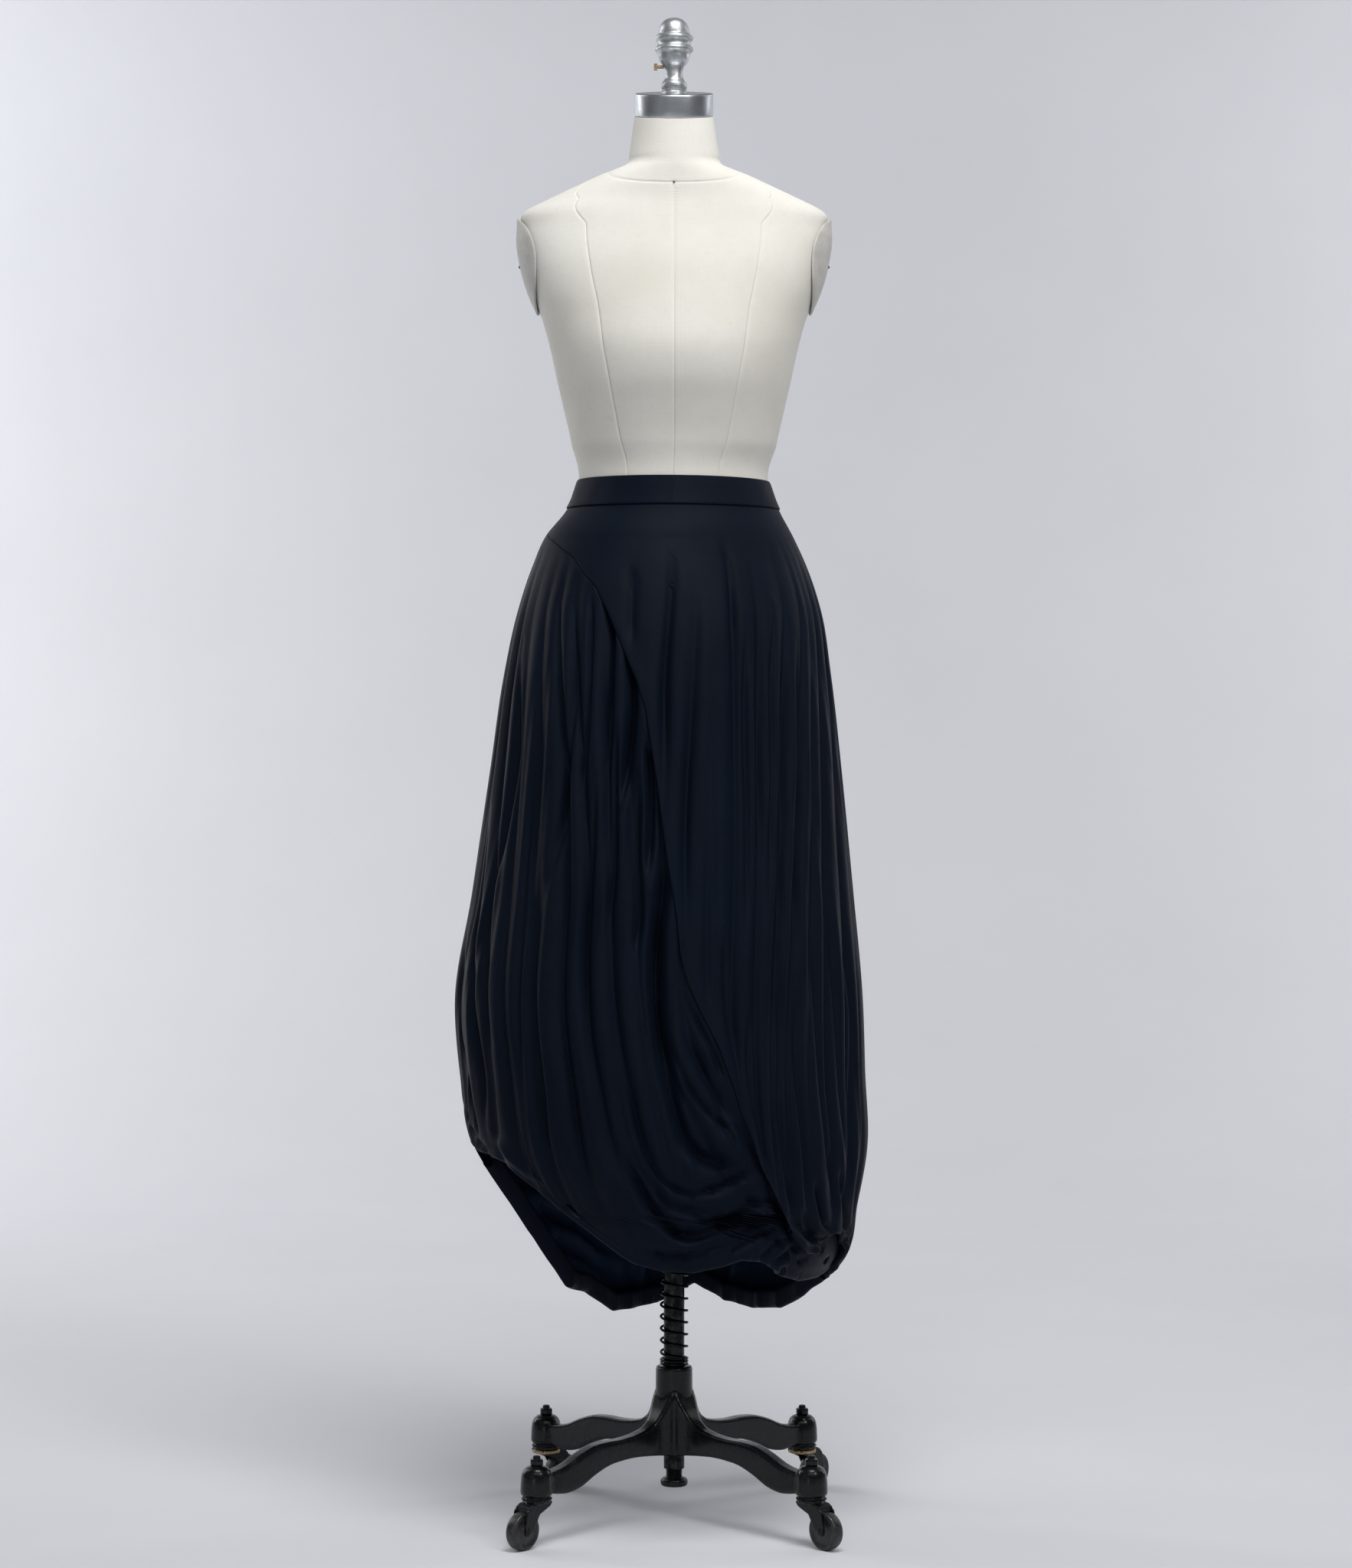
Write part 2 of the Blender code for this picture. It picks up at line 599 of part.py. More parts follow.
def hem_roll(points, raised_from, radius, climb, steps=3):
    """Rows that turn a lowest row under and a little way up the inside."""
    edge = points[-1]
    inward = -(raised_from / np.linalg.norm(raised_from, axis=-1, keepdims=True))
    rows = []
    for k in range(1, steps + 1):
        turn = math.pi * k / steps
        shift = inward * radius * (1.0 - math.cos(turn))
        drop = np.array((0.0, 0.0, -radius * math.sin(turn)))
        rows.append(edge + shift + drop)
    rows.append(rows[-1] + np.array((0.0, 0.0, climb)))
    return np.concatenate([points, np.array(rows)])


def panel_points(troughs, top, hem_table, first_at, last_at, raised, rows, shares, spacing, roll):
    """A panel's rows of points, between its side edges and from its top to its rolled hem."""
    low = np.array([0.4] * (len(shares) * (len(troughs) - 1) + 1))
    for _ in range(12):
        angles = np.array([
            columns_between(troughs, z, first_at(z), last_at(z), shares, spacing)[k]
            for k, z in enumerate(low)
        ])
        low = 0.5 * low + 0.5 * (straight_between(hem_table, angles) + (roll or 0.0))
    grid = []
    for share in rows:
        heights = top + (low - top) * share
        line = np.array([
            columns_between(troughs, z, first_at(z), last_at(z), shares, spacing)[k]
            for k, z in enumerate(heights)
        ])
        grid.append(skirt_points(line, heights, raised(line, heights)))
    points = np.array(grid)
    if roll is None:
        return points
    outward = skirt_points(line, low, 0.01) - skirt_points(line, low, 0.0)
    return hem_roll(points, outward, roll, HEM_RETURN)


def build_skirt(parent):
    top = WAIST_SEAM - GAP
    half_seam = math.degrees(SEAM_GAP / 2 / skirt_reach(0.8)[0])
    wrap = panel_points(
        WRAP_TROUGHS, top, WRAP_HEM, wrap_edge_angle, lambda z: 90.0 - half_seam,
        wrap_raise, WRAP_ROWS, FLUTE_SHARES, 0.22, None)
    add_solidify(grid_object("wrap_panel", wrap, "jersey", parent), CLOTH)

    def drape_end(height):
        under = wrap_edge_angle(height) + TUCK * ease((1.17 - height) / 0.03)
        return max(under, straight_between(DRAPE_END, height) if height < 0.44 else -90.0)

    drape = panel_points(
        DRAPE_TROUGHS, DRAPE_TOP, DRAPE_HEM, lambda z: -90.0 + half_seam, drape_end,
        drape_raise, DRAPE_ROWS, FLUTE_SHARES, 0.12, HEM_ROLL)
    add_solidify(grid_object("drape_panel", drape, "jersey", parent), CLOTH)

    middle = 180.0
    half = len(BACK_FOLDS) // 2
    for name, first, last, folds in (
        ("back_right_panel", 90.0 + half_seam, middle - half_seam, BACK_FOLDS[:half + 1]),
        ("back_left_panel", middle + half_seam, 270.0 - half_seam, BACK_FOLDS[half - 1:]),
    ):
        panel = panel_points(
            folds, top, BACK_HEM, lambda z, a=first: a, lambda z, a=last: a,
            back_raise, BACK_ROWS, FLUTE_SHARES, 0.22, HEM_ROLL)
        add_solidify(grid_object(name, panel, "jersey", parent), CLOTH)
    build_waistband(parent)


def build_waistband(parent):
    """A plain band, closed all round, that the form's waist carries."""
    angles = np.arange(FORM_SIDES) * 360.0 / FORM_SIDES
    rows = []
    for height in (WAIST_TOP, WAIST_TOP - BAND_EDGE, WAIST_SEAM + BAND_EDGE, WAIST_SEAM + GAP):
        rows.append(skirt_points(angles, np.full_like(angles, height), BAND_RAISE))
    band = grid_object("waistband", np.array(rows), "jersey", parent, round_it=True)
    add_solidify(band, CLOTH)


def form_points(angle, height):
    """Points on the dress form's closed section, tilted forward towards the neck."""
    heights = [row[0] for row in FORM_SECTIONS]
    half, front, back, tilt = [
        float(curve_through(heights, [row[k] for row in FORM_SECTIONS], height)) for k in range(1, 5)
    ]
    turn = np.radians(angle)
    power = 2.0 / (FORM_SQUARENESS if BUST_LOW < height < NECK_SEAM else 2.0)
    x = half * np.sign(np.sin(turn)) * np.abs(np.sin(turn)) ** power
    depth = np.where(np.cos(turn) > 0, front, back)
    y = -depth * np.sign(np.cos(turn)) * np.abs(np.cos(turn)) ** power
    return np.stack([x, y, height + y * math.tan(math.radians(tilt))], axis=-1)


def close_loft(rings, name, material, parent):
    """A closed solid through rings of points, from the top ring down."""
    rows, columns = len(rings), len(rings[0])
    piece = grid_object(name, np.array(rings), material, parent, round_it=True)
    shape = bmesh.new()
    shape.from_mesh(piece.data)
    shape.verts.ensure_lookup_table()
    shape.faces.new([shape.verts[i] for i in range(columns)])
    shape.faces.new([shape.verts[(rows - 1) * columns + i] for i in reversed(range(columns))])
    bmesh.ops.recalc_face_normals(shape, faces=shape.faces)
    shape.to_mesh(piece.data)
    shape.free()
    return piece


def build_form(parent):
    angles = np.arange(FORM_SIDES) * 360.0 / FORM_SIDES
    under_band = -CLOTH - 2 * GAP + BAND_RAISE
    waist = {
        WAIST_TOP + 0.004: under_band - 0.0010,
        WAIST_TOP - BAND_EDGE: under_band,
        WAIST_SEAM + BAND_EDGE: under_band,
        WAIST_SEAM - 0.007: under_band - 0.0035,
    }
    low, high = min(waist) - WAIST_CLEAR, max(waist) + WAIST_CLEAR
    heights = [row[0] for row in FORM_SECTIONS if not low < row[0] < high]
    rings = []
    for height in sorted(heights + list(waist), reverse=True):
        if height in waist:
            rings.append(skirt_points(angles, np.full_like(angles, height), waist[height]))
        else:
            rings.append(form_points(angles, height))
    close_loft(rings, "torso", "canvas", parent)
    for name, side in (("arm_plate_left", -1.0), ("arm_plate_right", 1.0)):
        build_arm_plate(name, side, parent)
    build_neck_cap(parent)
    turned("finial", FINIAL_PROFILE, "zinc", parent, sides=20)
    build_set_screw(parent)


def form_side(y, height):
    """The form's half width at a depth and a height, for what lies on its side."""
    heights = [row[0] for row in FORM_SECTIONS]
    half, front, back = [
        curve_through(heights, [row[k] for row in FORM_SECTIONS], height) for k in range(1, 4)
    ]
    share = np.abs(y) / np.where(y < 0, front, back)
    return half * (1.0 - np.clip(share, 0, 0.98) ** FORM_SQUARENESS) ** (1.0 / FORM_SQUARENESS)


def build_arm_plate(name, side, parent):
    """An oval armhole plate, domed like the form's side and just clear of it."""
    rings = []
    for share in ARM_PLATE_RINGS:
        turn = np.arange(ARM_PLATE_SIDES) * math.tau / ARM_PLATE_SIDES * side
        y = ARM_PLATE_DEPTH + ARM_PLATE_HALF[0] * share * np.cos(turn)
        z = ARM_PLATE_HEIGHT + ARM_PLATE_HALF[1] * share * np.sin(turn)
        x = side * (form_side(y, z) + ARM_PLATE_LIFT + ARM_PLATE_WALL)
        rings.append(np.stack([x, y, z], axis=-1))
    plate = grid_object(name, np.array(rings), "plate", parent, round_it=True)
    shape = bmesh.new()
    shape.from_mesh(plate.data)
    bmesh.ops.remove_doubles(shape, verts=shape.verts, dist=0.0001)
    bmesh.ops.recalc_face_normals(shape, faces=shape.faces)
    if sum(face.normal.x for face in shape.faces) * side < 0:
        bmesh.ops.reverse_faces(shape, faces=shape.faces)
    shape.to_mesh(plate.data)
    shape.free()
    add_solidify(plate, ARM_PLATE_WALL)


def build_neck_cap(parent):
    """A tilted aluminium cap with a level ferrule under the finial."""
    centre_z = FORM_SECTIONS[-1][0] + GAP + CAP_THICK / 2
    bpy.ops.mesh.primitive_cylinder_add(vertices=32, radius=CAP_RADIUS, depth=CAP_THICK)
    cap = bpy.context.object
    bpy.context.collection.objects.unlink(cap)
    PARTS.objects.link(cap)
    cap.name = "neck_cap"
    cap.data.materials.append(make_material("aluminium"))
    cap.parent = parent
    cap.location = (0.0, 0.0, centre_z + CAP_LIFT)
    cap.rotation_euler = (math.radians(CAP_TILT), 0.0, 0.0)
    add_bevel(cap, CAP_BEVEL, segments=1)
    bottom = centre_z - FERRULE_SUNK
    bpy.ops.mesh.primitive_cylinder_add(
        vertices=20, radius=FERRULE_RADIUS, depth=FINIAL_FOOT_Z - GAP - bottom,
        location=(0.0, 0.0, (FINIAL_FOOT_Z - GAP + bottom) / 2))
    ferrule = bpy.context.object
    ferrule.name = "ferrule_guide"
    bpy.context.collection.objects.unlink(ferrule)
    GUIDES.objects.link(ferrule)
    ferrule.parent = parent
    add_boolean(cap, ferrule, "UNION")


def build_set_screw(parent):
    """A small square-headed set screw on the finial's left."""
    radius, length = SCREW_SHANK
    start = -SCREW_SEAT - GAP
    bpy.ops.mesh.primitive_cylinder_add(vertices=12, radius=radius, depth=length)
    shank = bpy.context.object
    shank.name = "set_screw"
    bpy.context.collection.objects.unlink(shank)
    PARTS.objects.link(shank)
    shank.data.materials.append(make_material("brass"))
    shank.parent = parent
    shank.location = (start - length / 2, 0.0, SCREW_Z)
    shank.rotation_euler = (0.0, math.pi / 2, 0.0)
    bpy.ops.mesh.primitive_cube_add(size=SCREW_HEAD)
    head = bpy.context.object
    head.name = "screw_head_guide"
    bpy.context.collection.objects.unlink(head)
    GUIDES.objects.link(head)
    head.parent = parent
    head.location = (start - length, 0.0, SCREW_Z)
    head.scale = (0.6, 1.0, 1.0)
    add_boolean(shank, head, "UNION")


def spring_points():
    """The coil spring: two closed coils on the hub, open coils, two closed under the collar."""
    low, high = HUB_TOP + GAP + COIL_WIRE, COLLAR_Z[0] - GAP - COIL_WIRE
    closed = 2 * COIL_CLOSED
    open_turns = (high - low - 2 * closed) / COIL_PITCH
    turns = 4 + open_turns
    points = []
    count = int(round(turns * COIL_STEPS))
    for k in range(count + 1):
        turn = turns * k / count
        if turn < 2:
            height = low + COIL_CLOSED * turn
        elif turn > turns - 2:
            height = high - COIL_CLOSED * (turns - turn)
        else:
            height = low + closed + COIL_PITCH * (turn - 2)
        angle = -math.tau * turn
        points.append((COIL_RADIUS * math.cos(angle), COIL_RADIUS * math.sin(angle), height))
    return points


def build_spring(parent):
    curve = bpy.data.curves.new("spring", "CURVE")
    curve.dimensions = "3D"
    curve.bevel_depth = COIL_WIRE
    curve.bevel_resolution = 0
    curve.use_fill_caps = True
    points = spring_points()
    spline = curve.splines.new("POLY")
    spline.points.add(len(points) - 1)
    for point, place in zip(spline.points, points):
        point.co = (*place, 1.0)
    spring = bpy.data.objects.new("spring", curve)
    curve.materials.append(make_material("steel"))
    spring.parent = parent
    PARTS.objects.link(spring)


def build_post(parent):
    top = FORM_SECTIONS[0][0] - GAP
    turned("post", ((0.0, top), (POST_RADIUS, top), (POST_RADIUS, TAIL_TOP + GAP), (0.0, TAIL_TOP + GAP)),
           "steel", parent, sides=HUB_SIDES)
    turned("post_tail", ((0.0, TAIL_TOP), *TAIL_PROFILE, (0.0, 0.0390)), "enamel", parent, sides=14)
    low, high = COLLAR_Z
    bore = POST_RADIUS + GAP
    turned("post_collar", ((bore, high), (COLLAR_RADIUS, high), (COLLAR_RADIUS, low), (bore, low)),
           "steel", parent, sides=HUB_SIDES, closed=True)
    build_spring(parent)


def build_hub(parent):
    bore = POST_RADIUS + GAP
    turned("hub", ((bore, HUB_TOP), *HUB_PROFILE, (bore, HUB_BOTTOM)), "enamel", parent,
           sides=HUB_SIDES, closed=True, turn=math.pi / HUB_SIDES)


def build_leg(name, side_x, side_y, parent):
    """One leg: a rounded blade with a domed boss for the caster, and the nut on the boss."""
    turn = math.atan2(side_y, side_x)
    reach = BOSS_OFFSET * math.sqrt(2.0)
    blade = flat_outline("leg_" + name, LEG_TOP + LEG_BOTTOM, LEG_WIDTH, "enamel", parent)
    blade.rotation_euler = (0.0, 0.0, turn)
    add_bevel(blade, LEG_ROUND, segments=1, angle=50.0)
    boss = turned("boss_guide_" + name, BOSS_PROFILE, "enamel", parent, sides=18)
    boss.location = (BOSS_OFFSET * side_x, BOSS_OFFSET * side_y, 0.0)
    add_boolean(blade, move_to_guides(boss), "UNION")
    nut = turned("nut_" + name, NUT_PROFILE, "enamel", parent, sides=6)
    nut.location = (reach * math.cos(turn), reach * math.sin(turn), 0.0)
    nut.data.shade_flat()


def serrated_collar(name, parent):
    """The toothed collar on top of a caster: a star outline, extruded."""
    shape = bmesh.new()
    outer, inner = SERRATED_RADII
    ring = []
    for k in range(2 * COLLAR_TEETH):
        radius = outer if k % 2 == 0 else inner
        turn = math.tau * k / (2 * COLLAR_TEETH)
        ring.append(shape.verts.new((radius * math.cos(turn), radius * math.sin(turn), SERRATED_BOTTOM)))
    bottom = shape.faces.new(ring)
    lifted = bmesh.ops.extrude_face_region(shape, geom=[bottom])
    tops = [item for item in lifted["geom"] if isinstance(item, bmesh.types.BMVert)]
    bmesh.ops.translate(shape, verts=tops, vec=(0.0, 0.0, SERRATED_TOP - SERRATED_BOTTOM))
    bmesh.ops.recalc_face_normals(shape, faces=shape.faces)
    mesh = bpy.data.meshes.new(name)
    shape.to_mesh(mesh)
    shape.free()
    return make_object(name, mesh, "enamel", parent)


def build_caster(name, side_x, side_y, trail, parent):
    """A swivel fork and its wheel; the fork's empty is on the swivel, the wheel's on the axle."""
    turn = math.atan2(trail[1], trail[0])
    swivel = make_empty("swivel_" + name, parent, (BOSS_OFFSET * side_x, BOSS_OFFSET * side_y, 0.0), turn)
    half = WHEEL_WIDTH / 2 + CHEEK_GAP
    fork = serrated_collar("fork_" + name, swivel)
    for label, place in (("near", -1.0), ("far", 1.0)):
        cheek = flat_outline(f"cheek_guide_{label}_{name}", CHEEK_OUTLINE, CHEEK, "enamel", swivel)
        cheek.location = (0.0, place * (half + CHEEK / 2), 0.0)
        add_boolean(fork, move_to_guides(cheek), "UNION")
    hood_width = 2 * (half + CHEEK) - HOOD_INSET
    hood = flat_outline("hood_guide_" + name, HOOD_OUTLINE, hood_width, "enamel", swivel)
    add_boolean(fork, move_to_guides(hood), "UNION")
    axle_at = (TRAIL, 0.0, WHEEL_RADIUS)
    bpy.ops.mesh.primitive_cylinder_add(vertices=16, radius=AXLE_RADIUS, depth=2 * (half + CHEEK + AXLE_PROUD))
    axle = bpy.context.object
    axle.name = "axle_guide_" + name
    bpy.context.collection.objects.unlink(axle)
    GUIDES.objects.link(axle)
    axle.parent = swivel
    axle.location = axle_at
    axle.rotation_euler = (math.pi / 2, 0.0, 0.0)
    add_boolean(fork, axle, "UNION")
    build_wheel(name, swivel, axle_at)


def build_wheel(name, swivel, axle_at):
    """A wheel with a flat facet on the floor, turned about its axle."""
    tread = WHEEL_RADIUS / math.cos(math.pi / WHEEL_SIDES)
    half = WHEEL_WIDTH / 2
    bore = AXLE_RADIUS + GAP
    hub, dish, rim = WHEEL_HUB
    low, face, shoulder = WHEEL_DISH
    side = ((bore, half), (hub, half), (dish, half - low), (rim, half - face), (tread, half - shoulder))
    profile = side + tuple((radius, -place) for radius, place in reversed(side))
    axle = make_empty("axle_" + name, swivel, axle_at)
    axle.rotation_euler = (math.pi / 2, 0.0, 0.0)
    wheel = turned("wheel_" + name, profile, "wheel", axle, sides=WHEEL_SIDES, closed=True)
    wheel.rotation_euler = (0.0, 0.0, math.pi / WHEEL_SIDES)


def build_all():
    centre = make_empty("post_axis", None, (POST_X, POST_Y, 0.0))
    form_axis = make_empty("form_axis", centre)
    build_form(form_axis)
    build_skirt(form_axis)
    build_post(centre)
    build_hub(centre)
    for name, side_x, side_y, trail in CASTERS:
        build_leg(name, side_x, side_y, centre)
        build_caster(name, side_x, side_y, trail, centre)


remove_all_objects()
PARTS = make_collection("draped_skirt")
GUIDES = make_collection("guides")
build_all()
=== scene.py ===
"""Looks of the draped skirt on its dress form: fine cloth, canvas, metals and black enamel.

Metres, +Z up, the front faces -Y. Left and right are the viewer's, so left is -X. The skirt's
outline and largest folds repeat the sizes of the solids; finer folds are added here.
"""
import json
import math

import bmesh
import bpy
import numpy as np
from mathutils import Matrix, Vector


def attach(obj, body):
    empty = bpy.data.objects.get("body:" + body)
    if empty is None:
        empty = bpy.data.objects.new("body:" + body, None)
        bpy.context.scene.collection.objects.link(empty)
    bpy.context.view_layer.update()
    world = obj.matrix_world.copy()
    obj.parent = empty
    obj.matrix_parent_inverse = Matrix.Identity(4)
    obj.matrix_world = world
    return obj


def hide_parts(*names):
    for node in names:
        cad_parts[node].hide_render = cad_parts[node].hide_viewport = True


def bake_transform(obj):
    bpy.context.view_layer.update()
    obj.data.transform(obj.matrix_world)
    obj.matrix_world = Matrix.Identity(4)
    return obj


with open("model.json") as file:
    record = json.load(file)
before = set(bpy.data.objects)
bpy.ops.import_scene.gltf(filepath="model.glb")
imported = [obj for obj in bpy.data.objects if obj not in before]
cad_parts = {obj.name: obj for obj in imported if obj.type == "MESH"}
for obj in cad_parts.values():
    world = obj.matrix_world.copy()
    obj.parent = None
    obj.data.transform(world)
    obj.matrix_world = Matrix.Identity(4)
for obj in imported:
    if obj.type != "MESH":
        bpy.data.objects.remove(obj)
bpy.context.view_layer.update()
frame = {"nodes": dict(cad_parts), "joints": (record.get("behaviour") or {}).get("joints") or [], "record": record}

# Places read from the frame
JOINTS = {joint["name"]: joint for joint in frame["joints"]}
POST_X, POST_Y = JOINTS["form_swivel"]["pos_m"][:2]
AXIS = (POST_X, POST_Y, 0.0)
CASTER_NAMES = ("front_left", "front_right", "back_right", "back_left")

# Photograph's size and camera
PHOTO_SIZE = (1765, 2047)
FOCAL_PIXELS = 4858.0
SENSOR = 36.0
CAMERA_DISTANCE = 4.494
CAMERA_HEIGHT = 0.966
HORIZON_PIXEL = 940.0
AXIS_PIXEL = 880.0

# Cloth
CLOTH = 0.0010
SEAM_GAP = 0.0008
SEAM_GAP_HEIGHT = 0.8
WAIST_TOP = 1.2540
WAIST_SEAM = 1.2200
UNDER_BAND_TUCK = 0.0040
DRAPE_TOP = 1.206
# How far a panel runs under its neighbour, and over how much of its edge it slips there, in degrees
SEAM_LAP = 0.9
SEAM_EASE = 1.4

# Rows and columns of each panel's mesh
WRAP_GRID = (170, 200)
DRAPE_GRID = (180, 210)
BACK_GRID = (120, 130)

# Waistband: lift of its edges all round, in front and at the right, then its section from the top
# down, as a share of its height, a lift and a raise
BAND_TOP = (-0.0005, 0.0022, -0.0010)
BAND_BOTTOM = (0.0006, 0.0010, -0.0008)
BAND_RIPPLE = 0.00025
BAND_PROFILE = (
    (0.0, -0.0016, -0.0014), (0.0, -0.0004, -0.0006), (0.0, 0.0, 0.0002), (0.03, 0.0, 0.0006),
    (0.10, 0.0, 0.0009), (0.35, 0.0, 0.0011), (0.65, 0.0, 0.0013), (0.90, 0.0, 0.0018),
    (0.97, 0.0, 0.0020), (1.0, 0.0, 0.0016), (1.0, -0.0005, 0.0008), (1.0, -0.0002, -0.0006),
)

# Skirt outline, its folds' crests: height, reach to the left, right, front and back
SKIRT_SECTIONS = (
    (0.200, 0.100, 0.110, 0.140, 0.150),
    (0.270, 0.133, 0.166, 0.167, 0.186),
    (0.320, 0.163, 0.209, 0.188, 0.208),
    (0.380, 0.199, 0.222, 0.206, 0.224),
    (0.450, 0.243, 0.234, 0.218, 0.230),
    (0.540, 0.259, 0.231, 0.221, 0.231),
    (0.624, 0.265, 0.228, 0.214, 0.226),
    (0.762, 0.243, 0.2155, 0.200, 0.212),
    (0.910, 0.221, 0.2015, 0.183, 0.190),
    (1.021, 0.205, 0.1895, 0.168, 0.170),
    (1.096, 0.189, 0.178, 0.152, 0.152),
    (1.151, 0.171, 0.160, 0.133, 0.132),
    (1.188, 0.1545, 0.143, 0.117, 0.117),
    (1.220, 0.129, 0.126, 0.103, 0.102),
    (1.254, 0.1165, 0.1145, 0.094, 0.093),
)

# Main fold troughs: angle in degrees at four heights, then depth, as in the solids
TROUGH_HEIGHTS = (0.40, 0.60, 0.85, 1.10)
WRAP_TROUGHS = (
    (-90.0, -90.0, -90.0, -90.0, 0.0),
    (-67.0, -67.0, -67.0, -67.0, 0.0),
    (-42.0, -42.0, -42.0, -42.0, 0.0),
    (-14.0, -14.0, -13.5, -14.0, 0.0050),
    (-1.0, -1.0, -1.2, -0.4, 0.0065),
    (9.0, 8.0, 6.2, 9.9, 0.0080),
    (18.0, 14.0, 13.0, 15.5, 0.0028),
    (24.5, 21.2, 22.6, 23.6, 0.0105),
    (28.0, 27.8, 31.0, 34.4, 0.0110),
    (32.0, 33.0, 40.6, 47.8, 0.0105),
    (37.0, 38.5, 47.6, 58.5, 0.0085),
    (45.0, 46.5, 54.0, 64.0, 0.0055),
    (57.0, 55.2, 60.5, 71.0, 0.0105),
    (65.0, 68.0, 74.0, 80.0, 0.0090),
    (78.0, 80.0, 84.0, 87.0, 0.0060),
    (95.0, 95.0, 95.0, 95.0, 0.0),
)
DRAPE_TROUGHS = (
    (-97.0, -97.0, -97.0, -97.0, 0.0),
    (-80.0, -80.0, -80.0, -82.0, 0.0060),
    (-58.0, -56.0, -67.0, -72.0, 0.0085),
    (-47.0, -48.0, -54.0, -62.0, 0.0090),
    (-36.0, -37.5, -43.5, -53.0, 0.0075),
    (-25.0, -26.4, -32.0, -46.0, 0.0095),
    (-13.0, -18.6, -25.4, -38.0, 0.0100),
    (-4.0, -10.6, -18.2, -24.0, 0.0110),
    (2.0, -3.4, -11.0, -16.0, 0.0080),
    (20.0, 0.6, -1.4, -9.0, 0.0120),
    (34.0, 9.0, 6.0, -2.0, 0.0060),
    (60.0, 18.0, 14.0, 4.0, 0.0),
)
FOLD_SHARPNESS = 2.1
FOLD_GAIN = 1.35
CREASE_GAIN = 1.7
# The radius at which a crease's angles are turned into lengths
CREASE_RADIUS = 0.20
RIPPLE_DEPTH = 0.0016
# Where the slow waves that make each panel's folds uneven start
WRAP_SEED = 0.7
DRAPE_SEED = 1.9
BACK_SEED = 3.1
BACK_TROUGHS = 12
BACK_DEPTH = 0.0115

# Where folds come and go: the height where each change starts and the run over which it grows
FOLD_FADE = (1.205, 0.27)
FLUTE_FADE = (1.12, 0.20)
FLUTE_CALM = (0.44, 0.10)
RIPPLE_FADE = (1.16, 0.30)
YOKE_FADE = (1.10, 0.06)
FREE_EDGE_FADE = (1.06, 0.16)
SLIP_FADE = (1.08, 0.12)
DRAPE_CALM = (0.36, 0.14)
POUCH_FADE = (0.445, 0.040)
TUCK_FADE = (1.215, 0.01)
# Above the hems: the wrap panel puffs out over the first run, and the backs grow calm over the last
HEM_PUFF = 0.10
PUFF_RISE = 0.0034
BACK_HEM_CALM = 0.13

# Edge of the wrap panel over the draped panel: height and angle
WRAP_EDGE = (
    (0.354, 39.0), (0.377, 34.8), (0.416, 29.6), (0.452, 25.6), (0.484, 23.8), (0.520, 21.3),
    (0.555, 18.9), (0.589, 16.2), (0.626, 12.0), (0.663, 8.0), (0.697, 5.8), (0.739, 4.4),
    (0.830, 0.0), (0.898, -2.7), (0.979, -7.0), (1.011, -10.2), (1.064, -18.2), (1.092, -23.0),
    (1.121, -29.3), (1.160, -45.0), (1.178, -62.0), (1.190, -82.0), (1.200, -89.3), (1.221, -89.3),
)
WRAP_LIP = 0.0017
TUCK = 4.5
UNDER_WRAP = 0.0004
SLIP_BLEND = 0.0016
# A raise that nothing on the skirt reaches: the cloth is free there
CLEAR = 0.02
EDGE_DIP = 0.0008

# Lowest edges: angle and height
WRAP_HEM = (
    (24.0, 0.420), (30.0, 0.400), (35.0, 0.370), (40.0, 0.350), (44.0, 0.339), (49.0, 0.338),
    (54.0, 0.350), (60.0, 0.358), (66.0, 0.354), (71.0, 0.341), (77.0, 0.320), (83.0, 0.301),
    (90.0, 0.288),
)
DRAPE_HEM = (
    (-90.0, 0.452), (-61.0, 0.446), (-53.0, 0.436), (-44.0, 0.405), (-37.5, 0.382), (-31.8, 0.362),
    (-25.7, 0.344), (-20.6, 0.333), (-10.8, 0.325), (0.0, 0.324), (11.0, 0.331), (18.0, 0.338),
    (26.0, 0.334), (36.0, 0.314), (51.0, 0.302), (67.0, 0.300), (84.0, 0.306),
)
BACK_HEM = (
    (90.0, 0.288), (100.0, 0.262), (113.0, 0.243), (136.0, 0.235), (156.0, 0.240), (169.0, 0.251),
    (176.0, 0.258), (186.0, 0.245), (196.0, 0.236), (212.0, 0.232), (226.0, 0.232), (235.0, 0.246),
    (243.0, 0.260), (252.0, 0.266), (260.0, 0.273), (264.0, 0.300), (267.0, 0.350), (270.0, 0.424),
)
DRAPE_END = (
    (0.300, 83.0), (0.360, 81.0), (0.378, 68.0), (0.392, 46.0), (0.410, 36.5), (0.440, 31.0),
)
DRAPE_END_TOP = 0.44
POUCH_INSET = 0.0112
# Turned-under edges: radius of the turn and the length that goes up inside
HEM_ROLL = (0.0070, 0.016)
WRAP_ROLL = (0.0042, 0.004)

